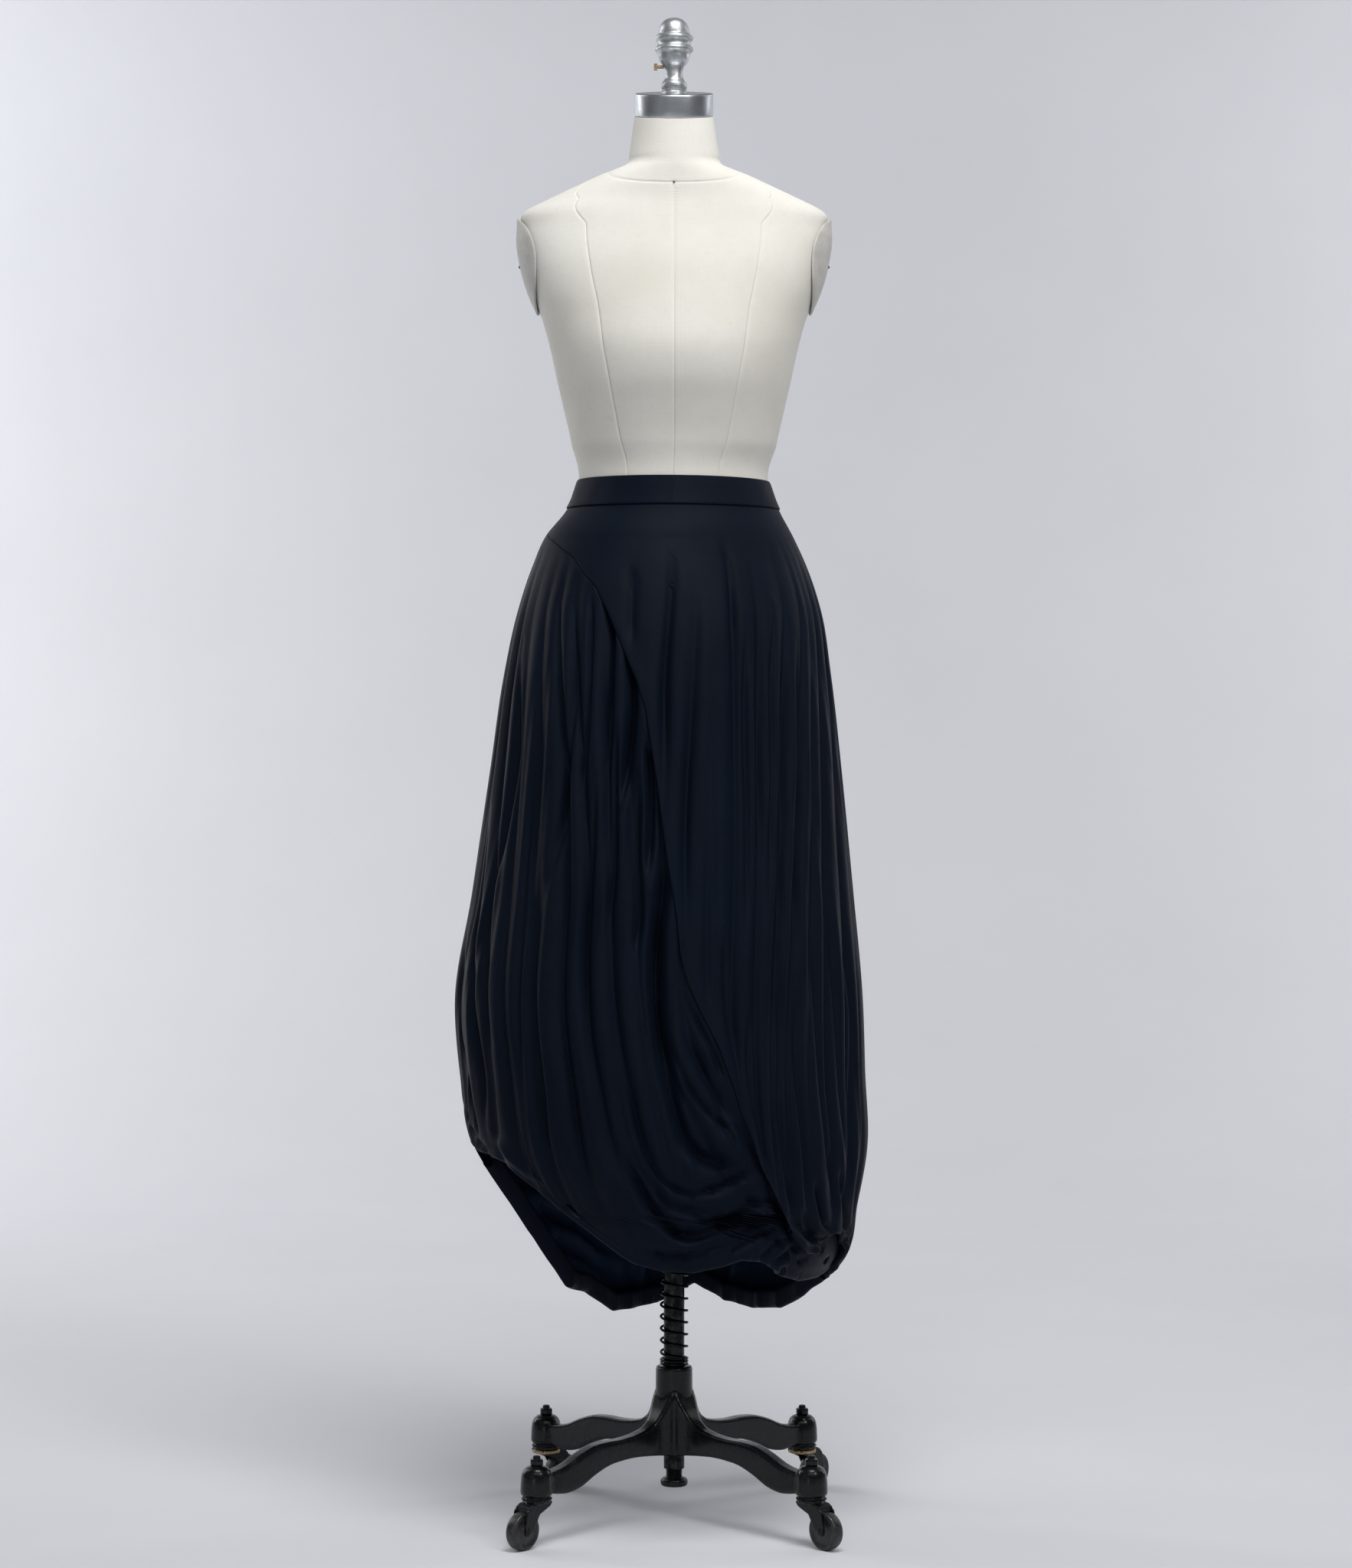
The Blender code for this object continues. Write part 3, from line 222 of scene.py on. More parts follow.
# Creases that follow their own paths: points of angle and height, depth, half width.
# A negative depth is a raised ridge.
DRAPE_CREASES = (
    # cowl folds that hang from the gather under the wrap panel's edge
    (((-1.5, 0.760), (-0.6, 0.680), (0.2, 0.590), (2.6, 0.532), (6.0, 0.478),
      (12.0, 0.456), (22.0, 0.455)), 0.0125, 0.0075),
    (((3.0, 0.600), (5.0, 0.545), (8.0, 0.505), (14.0, 0.480), (22.0, 0.478)), -0.0035, 0.0100),
    (((-13.0, 0.620), (-12.0, 0.520), (-9.0, 0.450), (-3.0, 0.408), (6.0, 0.398),
      (14.0, 0.404)), 0.0050, 0.0070),
    (((-14.0, 0.480), (-11.4, 0.440), (-8.4, 0.400), (-3.0, 0.372), (6.0, 0.371),
      (18.0, 0.391), (30.0, 0.418)), 0.0115, 0.0070),
    (((-10.0, 0.390), (-3.0, 0.359), (6.0, 0.357), (18.0, 0.377), (32.0, 0.402)), -0.0030, 0.0060),
    (((7.0, 0.420), (15.0, 0.428), (25.0, 0.447)), 0.0085, 0.0045),
    (((-14.6, 0.356), (-10.6, 0.346), (-0.6, 0.347), (12.0, 0.362), (26.0, 0.386),
      (35.0, 0.388)), 0.0065, 0.0042),
    (((12.4, 0.346), (22.0, 0.364), (34.0, 0.377)), 0.0060, 0.0038),
    (((20.0, 0.414), (26.0, 0.404), (31.0, 0.410)), 0.0050, 0.0040),
    # folds of the band that sweeps round the bottom right
    (((24.0, 0.320), (40.0, 0.325), (60.0, 0.345), (75.0, 0.372)), 0.0060, 0.0042),
    (((27.0, 0.330), (38.0, 0.344), (50.0, 0.353), (62.0, 0.368)), 0.0055, 0.0036),
    (((32.0, 0.311), (46.0, 0.311), (62.0, 0.320), (78.0, 0.342)), 0.0048, 0.0040),
    (((22.0, 0.334), (32.0, 0.356), (42.0, 0.364)), 0.0045, 0.0034),
    # short pulls that run into the wrap panel's edge
    (((7.0, 0.606), (11.0, 0.566), (15.0, 0.530), (18.5, 0.498)), 0.0046, 0.0030),
    (((3.0, 0.590), (8.0, 0.540), (13.5, 0.508), (19.5, 0.490)), 0.0050, 0.0032),
    (((8.0, 0.640), (12.0, 0.606), (15.5, 0.574), (17.5, 0.548)), 0.0040, 0.0028),
    (((14.0, 0.520), (17.5, 0.490), (20.5, 0.470)), 0.0044, 0.0028),
    (((-9.0, 0.560), (-7.0, 0.490), (-3.5, 0.440), (3.0, 0.420), (11.0, 0.424)), 0.0060, 0.0048),
    # recesses where folds slip under the wrap panel's edge
    (((-25.0, 1.115), (-22.6, 1.095), (-20.6, 1.060), (-19.6, 1.000), (-19.0, 0.920)), 0.0105, 0.0042),
    (((-14.5, 1.050), (-12.4, 1.020), (-11.4, 0.980), (-12.6, 0.920), (-14.0, 0.860)), 0.0110, 0.0046),
    (((-6.4, 0.945), (-4.8, 0.900), (-4.2, 0.840), (-4.6, 0.780)), 0.0090, 0.0042),
    (((1.0, 0.800), (0.4, 0.760), (-0.6, 0.720), (-1.2, 0.655)), 0.0080, 0.0048),
    # folds that start or end part of the way down
    (((-31.0, 1.120), (-28.5, 1.050), (-27.0, 0.960), (-28.0, 0.880)), 0.0052, 0.0040),
    (((-16.5, 0.960), (-16.0, 0.880), (-14.6, 0.800), (-15.0, 0.740)), 0.0055, 0.0036),
    (((-8.2, 0.900), (-8.0, 0.820), (-6.2, 0.740), (-6.6, 0.700)), 0.0060, 0.0040),
    (((-22.5, 0.900), (-21.8, 0.800), (-21.6, 0.700), (-19.0, 0.610)), 0.0048, 0.0042),
    (((-36.0, 1.060), (-33.4, 0.960), (-34.0, 0.860), (-36.5, 0.760)), 0.0046, 0.0055),
    (((-40.0, 0.800), (-38.0, 0.680), (-36.0, 0.560), (-36.5, 0.470)), 0.0042, 0.0060),
    (((-48.5, 0.920), (-46.4, 0.780), (-43.0, 0.640), (-42.0, 0.520)), 0.0040, 0.0070),
    (((-66.0, 1.060), (-60.0, 0.930), (-60.5, 0.820), (-64.0, 0.738), (-60.0, 0.669),
      (-54.0, 0.585)), 0.0062, 0.0055),
    (((-75.0, 0.860), (-72.0, 0.740), (-66.0, 0.640), (-62.0, 0.560), (-63.0, 0.480)), 0.0060, 0.0060),
    (((-84.0, 0.700), (-79.0, 0.600), (-72.0, 0.520), (-68.0, 0.462)), 0.0060, 0.0065),
    (((-88.0, 0.500), (-80.0, 0.482), (-72.0, 0.462), (-64.0, 0.452)), 0.0070, 0.0050),
    (((-60.0, 0.480), (-52.0, 0.452), (-44.0, 0.425)), -0.0028, 0.0080),
    # folds that the pouch at the right draws round itself
    (((26.0, 0.372), (36.0, 0.351), (48.0, 0.343), (62.0, 0.338)), 0.0048, 0.0034),
    (((30.0, 0.352), (44.0, 0.331), (58.0, 0.322), (72.0, 0.319), (82.0, 0.330)), 0.0050, 0.0036),
    (((40.0, 0.322), (50.0, 0.312), (64.0, 0.309), (78.0, 0.314)), 0.0036, 0.0030),
    (((52.0, 0.350), (60.0, 0.333), (70.0, 0.312)), 0.0040, 0.0034),
)
WRAP_CREASES = (
    (((-14.8, 1.148), (-14.2, 1.105), (-13.4, 1.050)), 0.0030, 0.0055),
    (((2.0, 1.175), (0.4, 1.100), (-1.0, 1.010), (-1.2, 0.900)), 0.0034, 0.0042),
    (((15.5, 1.130), (14.0, 1.000), (12.6, 0.860), (12.8, 0.720)), -0.0022, 0.0120),
    (((25.5, 1.185), (24.4, 1.120), (23.2, 1.050)), 0.0028, 0.0050),
    (((29.0, 1.080), (26.8, 0.960), (26.4, 0.840), (25.0, 0.700)), 0.0042, 0.0042),
    (((41.5, 1.100), (38.5, 1.000), (36.0, 0.880), (32.5, 0.740)), 0.0040, 0.0040),
    (((53.0, 1.060), (50.0, 0.960), (46.0, 0.840), (41.0, 0.720)), 0.0036, 0.0040),
    (((18.6, 0.720), (19.0, 0.640), (20.4, 0.560)), 0.0045, 0.0040),
    (((26.0, 0.640), (25.0, 0.560), (26.6, 0.480), (30.0, 0.420)), 0.0055, 0.0036),
    (((36.0, 0.700), (35.4, 0.600), (34.0, 0.500), (35.4, 0.420), (38.0, 0.380)), 0.0050, 0.0042),
    (((42.0, 0.660), (41.0, 0.560), (42.0, 0.460), (44.0, 0.380)), 0.0052, 0.0050),
    (((50.5, 0.720), (50.0, 0.600), (51.0, 0.500), (53.0, 0.410)), 0.0046, 0.0050),
    (((61.0, 0.780), (60.0, 0.640), (60.5, 0.520), (62.0, 0.430)), 0.0040, 0.0050),
    (((70.0, 0.900), (70.5, 0.760), (71.5, 0.620), (69.0, 0.500), (67.0, 0.400)), 0.0052, 0.0055),
    (((82.0, 0.700), (79.0, 0.580), (76.0, 0.470), (74.0, 0.380)), 0.0050, 0.0060),
    # folds that fan out above the wrap panel's hem
    (((32.0, 0.396), (42.0, 0.368), (52.0, 0.354), (66.0, 0.349), (80.0, 0.338)), 0.0060, 0.0042),
    (((36.0, 0.380), (46.0, 0.356), (60.0, 0.343), (74.0, 0.327)), 0.0050, 0.0036),
    (((59.0, 0.440), (62.0, 0.402), (66.0, 0.372), (73.0, 0.350)), 0.0062, 0.0042),
    (((47.0, 0.430), (49.0, 0.398), (52.0, 0.374), (58.0, 0.362)), 0.0060, 0.0038),
    (((40.0, 0.395), (45.0, 0.372), (50.0, 0.352)), 0.0040, 0.0050),
    (((52.0, 0.470), (56.0, 0.420), (58.0, 0.385)), 0.0038, 0.0055),
)
BACK_CREASES = (
    (((96.0, 0.760), (98.0, 0.640), (101.0, 0.520), (100.0, 0.420)), 0.0050, 0.0060),
    (((117.0, 0.980), (116.0, 0.860), (119.0, 0.740), (118.0, 0.640)), 0.0042, 0.0050),
    (((132.0, 0.720), (130.0, 0.600), (133.0, 0.480), (130.0, 0.380)), 0.0048, 0.0060),
    (((149.0, 1.080), (150.5, 0.960), (148.0, 0.840)), 0.0036, 0.0048),
    (((163.0, 0.860), (161.0, 0.740), (164.0, 0.620), (162.0, 0.500)), 0.0044, 0.0055),
    (((176.0, 0.560), (172.0, 0.440), (176.0, 0.340)), 0.0044, 0.0060),
    (((190.0, 1.020), (191.5, 0.900), (189.0, 0.780)), 0.0040, 0.0050),
    (((205.0, 0.700), (203.0, 0.580), (206.0, 0.460), (204.0, 0.360)), 0.0050, 0.0060),
    (((221.0, 0.980), (219.0, 0.860), (222.0, 0.740)), 0.0040, 0.0050),
    (((236.0, 0.820), (238.0, 0.680), (235.0, 0.560), (238.0, 0.440)), 0.0048, 0.0060),
    (((251.0, 0.660), (254.0, 0.540), (250.0, 0.440)), 0.0050, 0.0060),
    (((110.0, 0.330), (122.0, 0.300), (136.0, 0.292), (150.0, 0.300)), 0.0050, 0.0060),
    (((190.0, 0.300), (204.0, 0.284), (218.0, 0.290), (230.0, 0.310)), 0.0048, 0.0060),
    (((264.0, 0.372), (250.0, 0.380), (238.0, 0.372), (226.0, 0.350), (215.0, 0.318)), 0.0080, 0.0075),
    (((264.0, 0.338), (248.0, 0.338), (234.0, 0.322), (222.0, 0.284)), 0.0080, 0.0070),
    (((250.0, 0.304), (238.0, 0.290), (229.0, 0.262)), 0.0070, 0.0060),
    (((212.0, 0.372), (207.0, 0.330), (205.0, 0.290), (202.0, 0.254)), 0.0070, 0.0075),
    (((198.0, 0.345), (193.0, 0.300), (190.0, 0.262)), 0.0060, 0.0070),
    (((150.0, 0.345), (156.0, 0.300), (158.0, 0.262)), 0.0060, 0.0070),
)

# Dress form: height, half width, reach to the front and back, forward tilt in degrees
FORM_SECTIONS = (
    (0.920, 0.140, 0.098, 0.104, 0.0),
    (0.955, 0.152, 0.108, 0.116, 0.0),
    (1.050, 0.160, 0.116, 0.124, 0.0),
    (1.120, 0.152, 0.114, 0.112, 0.0),
    (1.180, 0.1320, 0.1020, 0.0980, 0.0),
    (1.235, 0.1190, 0.0950, 0.0940, 0.0),
    (1.300, 0.1240, 0.1000, 0.0910, 0.0),
    (1.336, 0.1320, 0.1110, 0.0930, 0.0),
    (1.373, 0.1405, 0.1240, 0.0980, 0.0),
    (1.410, 0.1485, 0.1280, 0.1040, 0.0),
    (1.451, 0.1600, 0.1180, 0.1080, 0.0),
    (1.480, 0.1712, 0.1080, 0.1090, 0.0),
    (1.513, 0.1800, 0.0960, 0.1060, 0.0),
    (1.556, 0.1843, 0.0760, 0.0930, 0.0),
    (1.578, 0.1790, 0.0670, 0.0800, 0.0),
    (1.592, 0.1520, 0.0620, 0.0720, 0.0),
    (1.608, 0.1180, 0.0590, 0.0650, 0.0),
    (1.622, 0.0870, 0.0572, 0.0596, 0.2),
    (1.628, 0.0715, 0.0565, 0.0582, 0.6),
    (1.6325, 0.0602, 0.0557, 0.0570, 1.0),
    (1.637, 0.0557, 0.0549, 0.0560, 1.6),
    (1.645, 0.0545, 0.0538, 0.0549, 3.0),
    (1.660, 0.0521, 0.0515, 0.0525, 6.0),
    (1.676, 0.0497, 0.0494, 0.0499, 9.0),
    (1.6925, 0.0473, 0.0473, 0.0473, 12.0),
)
# Rows of the canvas: first height, last height and number
TORSO_ROWS = (
    (1.6925, 1.660, 9), (1.657, 1.570, 60), (1.566, 1.262, 72), (1.258, 1.206, 16), (1.19, 0.922, 30),
)
# Columns between two seams, and extra ones close beside the seams, as shares
TORSO_COLUMNS = 25
BESIDE_SEAM = (0.008, 0.018, 0.982, 0.992)
TORSO_FLOOR = 0.9202
UNDER_BAND = -0.0017
WAIST_NIP = (1.185, 0.028)
WAIST_NIP_TOP = (1.258, 0.040)
BAND_FOOT = (1.210, 0.012)
BAND_FOOT_DEPTH = 0.0035
# The bust is a little squared between these heights
SQUARENESS = 0.15
SQUARE_FADE = (1.262, 0.05)
SQUARE_TOP = (1.60, 0.04)
NECK_SEAM = 1.6280
NECK_SEAM_DIP = (-0.0195, -0.007, 0.004)
NECK_SEAM_REACH = 0.055
NECK_SEAM_WIDTH = 0.0011
NECK_PLAIN = (NECK_SEAM, 0.003)
SEAM_PRESS = 0.0009
PUCKER = 0.00012
SEAM_STEPS = np.array((-0.0035, -0.0022, -0.0013, -0.0006, 0.0, 0.0006, 0.0013, 0.0022, 0.0035))
# Panel seams between the centre and the side: height and angle
FRONT_SEAM = ((0.92, 32.0), (1.10, 30.0), (1.25, 28.0), (1.41, 33.0), (1.47, 32.0), (1.556, 33.0),
              (1.592, 44.0), (1.608, 60.0), (1.620, 76.0), (1.634, 78.0), (1.70, 78.0))
BACK_SEAM = ((0.92, 148.0), (1.25, 152.0), (1.40, 150.0), (1.52, 147.0), (1.578, 142.0),
             (1.600, 124.0), (1.615, 106.0), (1.634, 102.0), (1.70, 102.0))
PLATE_PLACE = (0.004, 1.512)
PLATE_HALF = (0.050, 0.058)
PLATE_WALL = 0.0025
PLATE_LIFT = 0.0022
PLATE_DOME = 0.0016
# The plate's section, as shares of its half size; the rim's rows also have a lift
PLATE_OUTER = (0.02, 0.2, 0.4, 0.6, 0.75, 0.88, 0.95, 0.985)
PLATE_RIM = ((1.0, -0.0006), (1.0, -0.0020))
PLATE_INNER = (0.985, 0.9, 0.6, 0.3, 0.02)
PLATE_PIN = ((0.0, 0.0016), (0.0014, 0.0012), (0.0020, 0.0), (0.0, -0.0010))
NECK_PIN = ((0.0, 0.0008), (0.0008, 0.0006), (0.0011, 0.0), (0.0, -0.0012))
NECK_PIN_DROP = 0.0225
CAP_RADIUS = 0.0473
CAP_THICK = 0.0275
CAP_CENTRE = 1.70675
CAP_TILT = math.radians(12.0)
FERRULE_PROFILE = (
    (0.0, 1.7252), (0.0132, 1.7251), (0.0146, 1.7244), (0.0148, 1.7232), (0.0141, 1.7222),
    (0.0148, 1.7212), (0.0150, 1.7190), (0.0150, 1.7120), (0.0, 1.7120),
)
FINIAL_PROFILE = (
    (0.0, 1.8108), (0.0060, 1.8102), (0.0110, 1.8080), (0.0152, 1.8040), (0.0176, 1.7990),
    (0.0187, 1.7940), (0.0191, 1.7905), (0.0215, 1.7893), (0.0229, 1.7878), (0.0232, 1.7862),
    (0.0226, 1.7842), (0.0206, 1.7822), (0.0199, 1.7795), (0.0205, 1.7768), (0.0224, 1.7750),
    (0.0231, 1.7732), (0.0227, 1.7712), (0.0208, 1.7694), (0.0194, 1.7665), (0.0188, 1.7630),
    (0.0174, 1.7592), (0.0148, 1.7556), (0.0122, 1.7525), (0.0109, 1.7480), (0.0106, 1.7425),
    (0.0112, 1.7380), (0.0132, 1.7345), (0.0150, 1.7325), (0.0156, 1.7300), (0.0155, 1.7275),
    (0.0148, 1.7258), (0.0, 1.7256),
)

# Stand, as in the solids
HUB_PROFILE = (
    (0.0136, 0.1846), (0.0200, 0.1848), (0.0214, 0.1842), (0.0222, 0.1826), (0.0223, 0.1700),
    (0.0224, 0.1560), (0.0228, 0.1470), (0.0234, 0.1380), (0.0240, 0.1250), (0.0240, 0.0850),
    (0.0232, 0.0800), (0.0215, 0.0782), (0.0136, 0.0782), (0.0136, 0.1300), (0.0136, 0.1846),
)
LEG_WIDTH = 0.018
LEG_SPREAD = 0.0085
LEG_ROOT = (0.016, 0.034)
LEG_ROUNDING = 0.22
LEG_ENDS = (0.0175, 0.222)
# Size of the grid that fuses a casting's parts, and rounds of smoothing
STAND_CAST = (0.0014, 5)
FORK_CAST = (0.00075, 4)
LEG_TOP = (
    (0.0170, 0.1580), (0.0246, 0.1430), (0.0300, 0.1330), (0.0370, 0.1240), (0.0470, 0.1165),
    (0.0620, 0.1118), (0.0900, 0.1084), (0.1200, 0.1082), (0.1400, 0.1062), (0.1590, 0.1004),
    (0.1820, 0.0908), (0.2220, 0.0830),
)
LEG_BOTTOM = (
    (0.0170, 0.0790), (0.0885, 0.0828), (0.1150, 0.0798), (0.1400, 0.0712), (0.1610, 0.0614),
    (0.1770, 0.0576), (0.2220, 0.0620),
)
BOSS_PROFILE = (
    (0.0, 0.0955), (0.0070, 0.0953), (0.0110, 0.0942), (0.0148, 0.0914), (0.0172, 0.0868),
    (0.0184, 0.0800), (0.0190, 0.0700), (0.0191, 0.0640), (0.0184, 0.0612), (0.0170, 0.0603),
    (0.0, 0.0603),
)
COLLAR_PROFILE = (
    (0.0129, 0.3628), (0.0195, 0.3628), (0.0206, 0.3624), (0.0210, 0.3614), (0.0210, 0.3466),
    (0.0206, 0.3456), (0.0195, 0.3452), (0.0129, 0.3452), (0.0129, 0.3628),
)
WHEEL_PROFILE = (
    (0.0035, 0.0081), (0.0062, 0.0082), (0.0072, 0.0078), (0.0082, 0.0066), (0.0100, 0.0061),
    (0.0150, 0.0063), (0.0170, 0.0068), (0.0188, 0.0074), (0.0204, 0.0072), (0.0216, 0.0062),
    (0.0222, 0.0044), (0.02235, 0.0018), (0.02235, -0.0018), (0.0222, -0.0044), (0.0216, -0.0062),
    (0.0204, -0.0072), (0.0188, -0.0074), (0.0170, -0.0068), (0.0150, -0.0063), (0.0100, -0.0061),
    (0.0082, -0.0066), (0.0072, -0.0078), (0.0062, -0.0082), (0.0035, -0.0081), (0.0035, 0.0081),
)
POST_PROFILE = ((0.0, 0.9197), (0.0125, 0.9197), (0.0125, 0.49), (0.0125, 0.0603), (0.0, 0.0603))
# The threaded tail: top, length and radius of its thread, then its flanged foot
THREAD = (0.0596, 0.0088, 0.0096)
THREAD_DEPTH = 0.0005
TAIL_FOOT = (
    (0.0100, 0.0502), (0.0115, 0.0494), (0.0145, 0.0484), (0.0160, 0.0470), (0.0165, 0.0450),
    (0.0166, 0.0424), (0.0160, 0.0402), (0.0148, 0.0392), (0.0, 0.0392),
)
# The nut, from the bottom up: height and share of its radius. Above NUT_TOP comes the round stud.
NUT_PROFILE = (
    (0.0958, 0.96), (0.0962, 1.0), (0.1018, 1.0), (0.1027, 0.95), (0.1031, 0.80), (0.1029, 0.66),
    (0.1032, 0.60), (0.1058, 0.59), (0.1066, 0.54), (0.1071, 0.40), (0.1073, 0.05),
)
NUT_TOP = 0.1029
NUT_FLAT = 0.00720
NUT_CORNER = 0.00795
STUD_RADIUS = 0.0074
# The toothed ring over each fork: radius, height and whether the teeth cut it
TEETH = 26
TOOTH = 0.0004
TOOTHED_PROFILE = (
    (0.0120, 0.0578, 0), (0.0172, 0.0578, 0), (0.0176, 0.0574, 1),
    (0.0176, 0.0560, 1), (0.0170, 0.0556, 0), (0.0120, 0.0556, 0),
)
BRASS_PROFILE = (
    (0.0120, 0.0520), (0.0166, 0.0520), (0.0174, 0.0514),
    (0.0174, 0.0484), (0.0166, 0.0478), (0.0120, 0.0478),
)
SPRING_ENDS = (0.1869, 0.3431)
COIL_RADIUS = 0.01595
COIL_WIRE = 0.00155
COIL_PITCH = 0.0144
COIL_CLOSED = 0.0034

# Backdrop, and lights: name, place, target, width and height, power
STAGE_FRONT = -9.0
STAGE_BACK = 5.3
STAGE_COVE = 2.6
STAGE_TOP = 9.0
STAGE_HALF_WIDTH = 12
WORLD_COLOUR = (0.90, 0.93, 1.0, 1.0)
WORLD_STRENGTH = 0.12
LIGHTS = (
    ("overhead", (0.4, -1.3, 3.7), (0.0, 0.2, 0.9), (1.6, 1.4), 73.0),
    ("key", (2.1, -2.8, 2.7), (0.0, 0.0, 1.0), (0.8, 1.0), 23.0),
    ("fill", (-2.8, -3.0, 1.6), (0.0, 0.0, 0.8), (2.2, 2.4), 3.0),
    ("low", (-0.9, -2.6, 0.16), (-0.08, 0.15, 0.30), (0.5, 0.2), 1.1),
    ("wall_left", (-4.4, 2.9, 2.6), (-1.9, 5.3, 1.0), (1.9, 3.1), 152.0),
    ("wall_right", (4.4, 2.9, 2.6), (1.9, 5.3, 1.0), (1.9, 3.1), 92.0),
    ("floor_front", (0.0, -2.9, 2.2), (0.0, -2.3, 0.0), (2.4, 0.6), 14.0),
    ("floor_left", (-3.0, 0.8, 2.8), (-2.2, 0.6, 0.0), (1.0, 2.4), 17.0),
    ("floor_right", (3.0, 0.8, 2.8), (2.2, 0.6, 0.0), (1.0, 2.4), 8.0),
)


# Materials
class Finish:
    """A material, with methods that add the texture nodes of its shader.

    Where a method takes a value, it is a number, a colour or another node's output.
    """

    def __init__(self, name):
        self.material = bpy.data.materials.new(name)
        self.material.use_nodes = True
        self.nodes = self.material.node_tree.nodes
        self.links = self.material.node_tree.links
        self.shader = self.nodes["Principled BSDF"]
        coordinates = self.nodes.new("ShaderNodeTexCoord")
        self.solid = coordinates.outputs["Object"]
        self.flat = coordinates.outputs["UV"]

    def feed(self, socket, value):
        if isinstance(value, bpy.types.NodeSocket):
            self.links.new(value, socket)
        elif socket.type == "RGBA":
            socket.default_value = (*value, 1.0)
        else:
            socket.default_value = value

    def add(self, kind, output, inputs, **settings):
        """A new node's output, after its inputs and settings are set."""
        node = self.nodes.new(kind)
        for key, value in settings.items():
            setattr(node, key, value)
        for key, value in inputs.items():
            self.feed(node.inputs[key], value)
        return node.outputs[output]

    def set(self, **values):
        """Feeds the shader's sockets. An underscore stands for a space in a socket's name."""
        for key, value in values.items():
            self.feed(self.shader.inputs[key.replace("_", " ")], value)

    def noise(self, source, scale, detail=4.0, roughness=0.55):
        return self.add("ShaderNodeTexNoise", "Fac", {
            "Vector": source, "Scale": scale, "Detail": detail, "Roughness": roughness})

    def wave(self, scale, direction, distortion):
        inputs = {"Vector": self.flat, "Scale": scale, "Distortion": distortion}
        return self.add("ShaderNodeTexWave", "Fac", inputs, bands_direction=direction)

    def maths(self, operation, first, second):
        return self.add("ShaderNodeMath", 0, {0: first, 1: second}, operation=operation)

    def ramp(self, source, *stops):
        """A colour ramp; stops are (position, grey or colour)."""
        node = self.nodes.new("ShaderNodeValToRGB")
        band = node.color_ramp
        while len(band.elements) < len(stops):
            band.elements.new(0.5)
        for element, (position, value) in zip(band.elements, stops):
            element.position = position
            element.color = (*(value if isinstance(value, tuple) else [value] * 3), 1.0)
        self.links.new(source, node.inputs["Fac"])
        return node.outputs["Color"]

    def mix(self, amount, low, high):
        inputs = {0: amount, 6: low, 7: high}
        return self.add("ShaderNodeMix", 2, inputs, data_type="RGBA")

    def spread(self, source, low, high, out_low, out_high):
        """Carries a range of values over to another range."""
        return self.add("ShaderNodeMapRange", "Result", {
            "Value": source, "From Min": low, "From Max": high, "To Min": out_low, "To Max": out_high})

    def bump(self, height, distance, strength, below=None):
        inputs = {"Height": height, "Distance": distance, "Strength": strength}
        if below is not None:
            inputs["Normal"] = below
        return self.add("ShaderNodeBump", "Normal", inputs)


def jersey_material(name, painted_light_gain=1.0):
    """Very dark navy knit: fine wales, hardly any sheen and a slight random variation in tone. A gain above 1
    makes a paler copy, painted light for the cloth's shaded inside.
    """
    finish = Finish(name)
    # a gain above 1 paints light: the colours are raised to stand in for light on the cloth's shaded inside
    low = tuple(painted_light_gain * value for value in (0.0030, 0.0056, 0.0118))
    high = tuple(painted_light_gain * value for value in (0.0040, 0.0073, 0.0149))
    shade = finish.noise(finish.solid, 9.0, 3.0)
    gloss = finish.noise(finish.solid, 14.0, 3.0)
    knit = finish.maths("ADD", finish.wave(380.0, "X", 0.6), finish.wave(260.0, "Y", 0.6))
    uneven = finish.bump(finish.noise(finish.solid, 60.0, 4.0), 0.0006, 0.35)
    finish.set(
        Base_Color=finish.ramp(shade, (0.3, low), (0.7, high)),
        Roughness=finish.spread(gloss, 0.3, 0.7, 0.44, 0.54), Specular_IOR_Level=0.05,
        Sheen_Weight=0.004, Sheen_Roughness=0.5, Sheen_Tint=(0.62, 0.72, 1.0),
        Normal=finish.bump(knit, 0.00012, 0.45, uneven))
    return finish.material


def canvas_material():
    """Cream linen canvas: plain weave, slubs and a little soiling."""
    finish = Finish("canvas")
    stain = finish.noise(finish.solid, 5.0, 5.0)
    base = finish.ramp(stain, (0.35, (0.68, 0.655, 0.585)), (0.65, (0.765, 0.75, 0.695)))
    slub = finish.ramp(finish.noise(finish.flat, 160.0, 6.0), (0.55, 0.0), (0.85, 0.30))
    weave = finish.maths("MULTIPLY", finish.wave(210.0, "X", 1.2), finish.wave(210.0, "Y", 1.2))
    finish.set(
        Base_Color=finish.mix(slub, base, (0.58, 0.535, 0.44)), Roughness=0.78,
        Specular_IOR_Level=0.25, Normal=finish.bump(weave, 0.00025, 0.5))
    return finish.material


def plate_material():
    """Pale painted armhole plate with faint scuffs."""
    finish = Finish("plate")
    scuff = finish.noise(finish.solid, 28.0, 8.0, 0.7)
    finish.set(
        Base_Color=finish.ramp(scuff, (0.35, (0.40, 0.385, 0.355)), (0.6, (0.52, 0.505, 0.47))),
        Roughness=finish.spread(scuff, 0.3, 0.7, 0.38, 0.6), Normal=finish.bump(scuff, 0.0003, 0.3))
    return finish.material


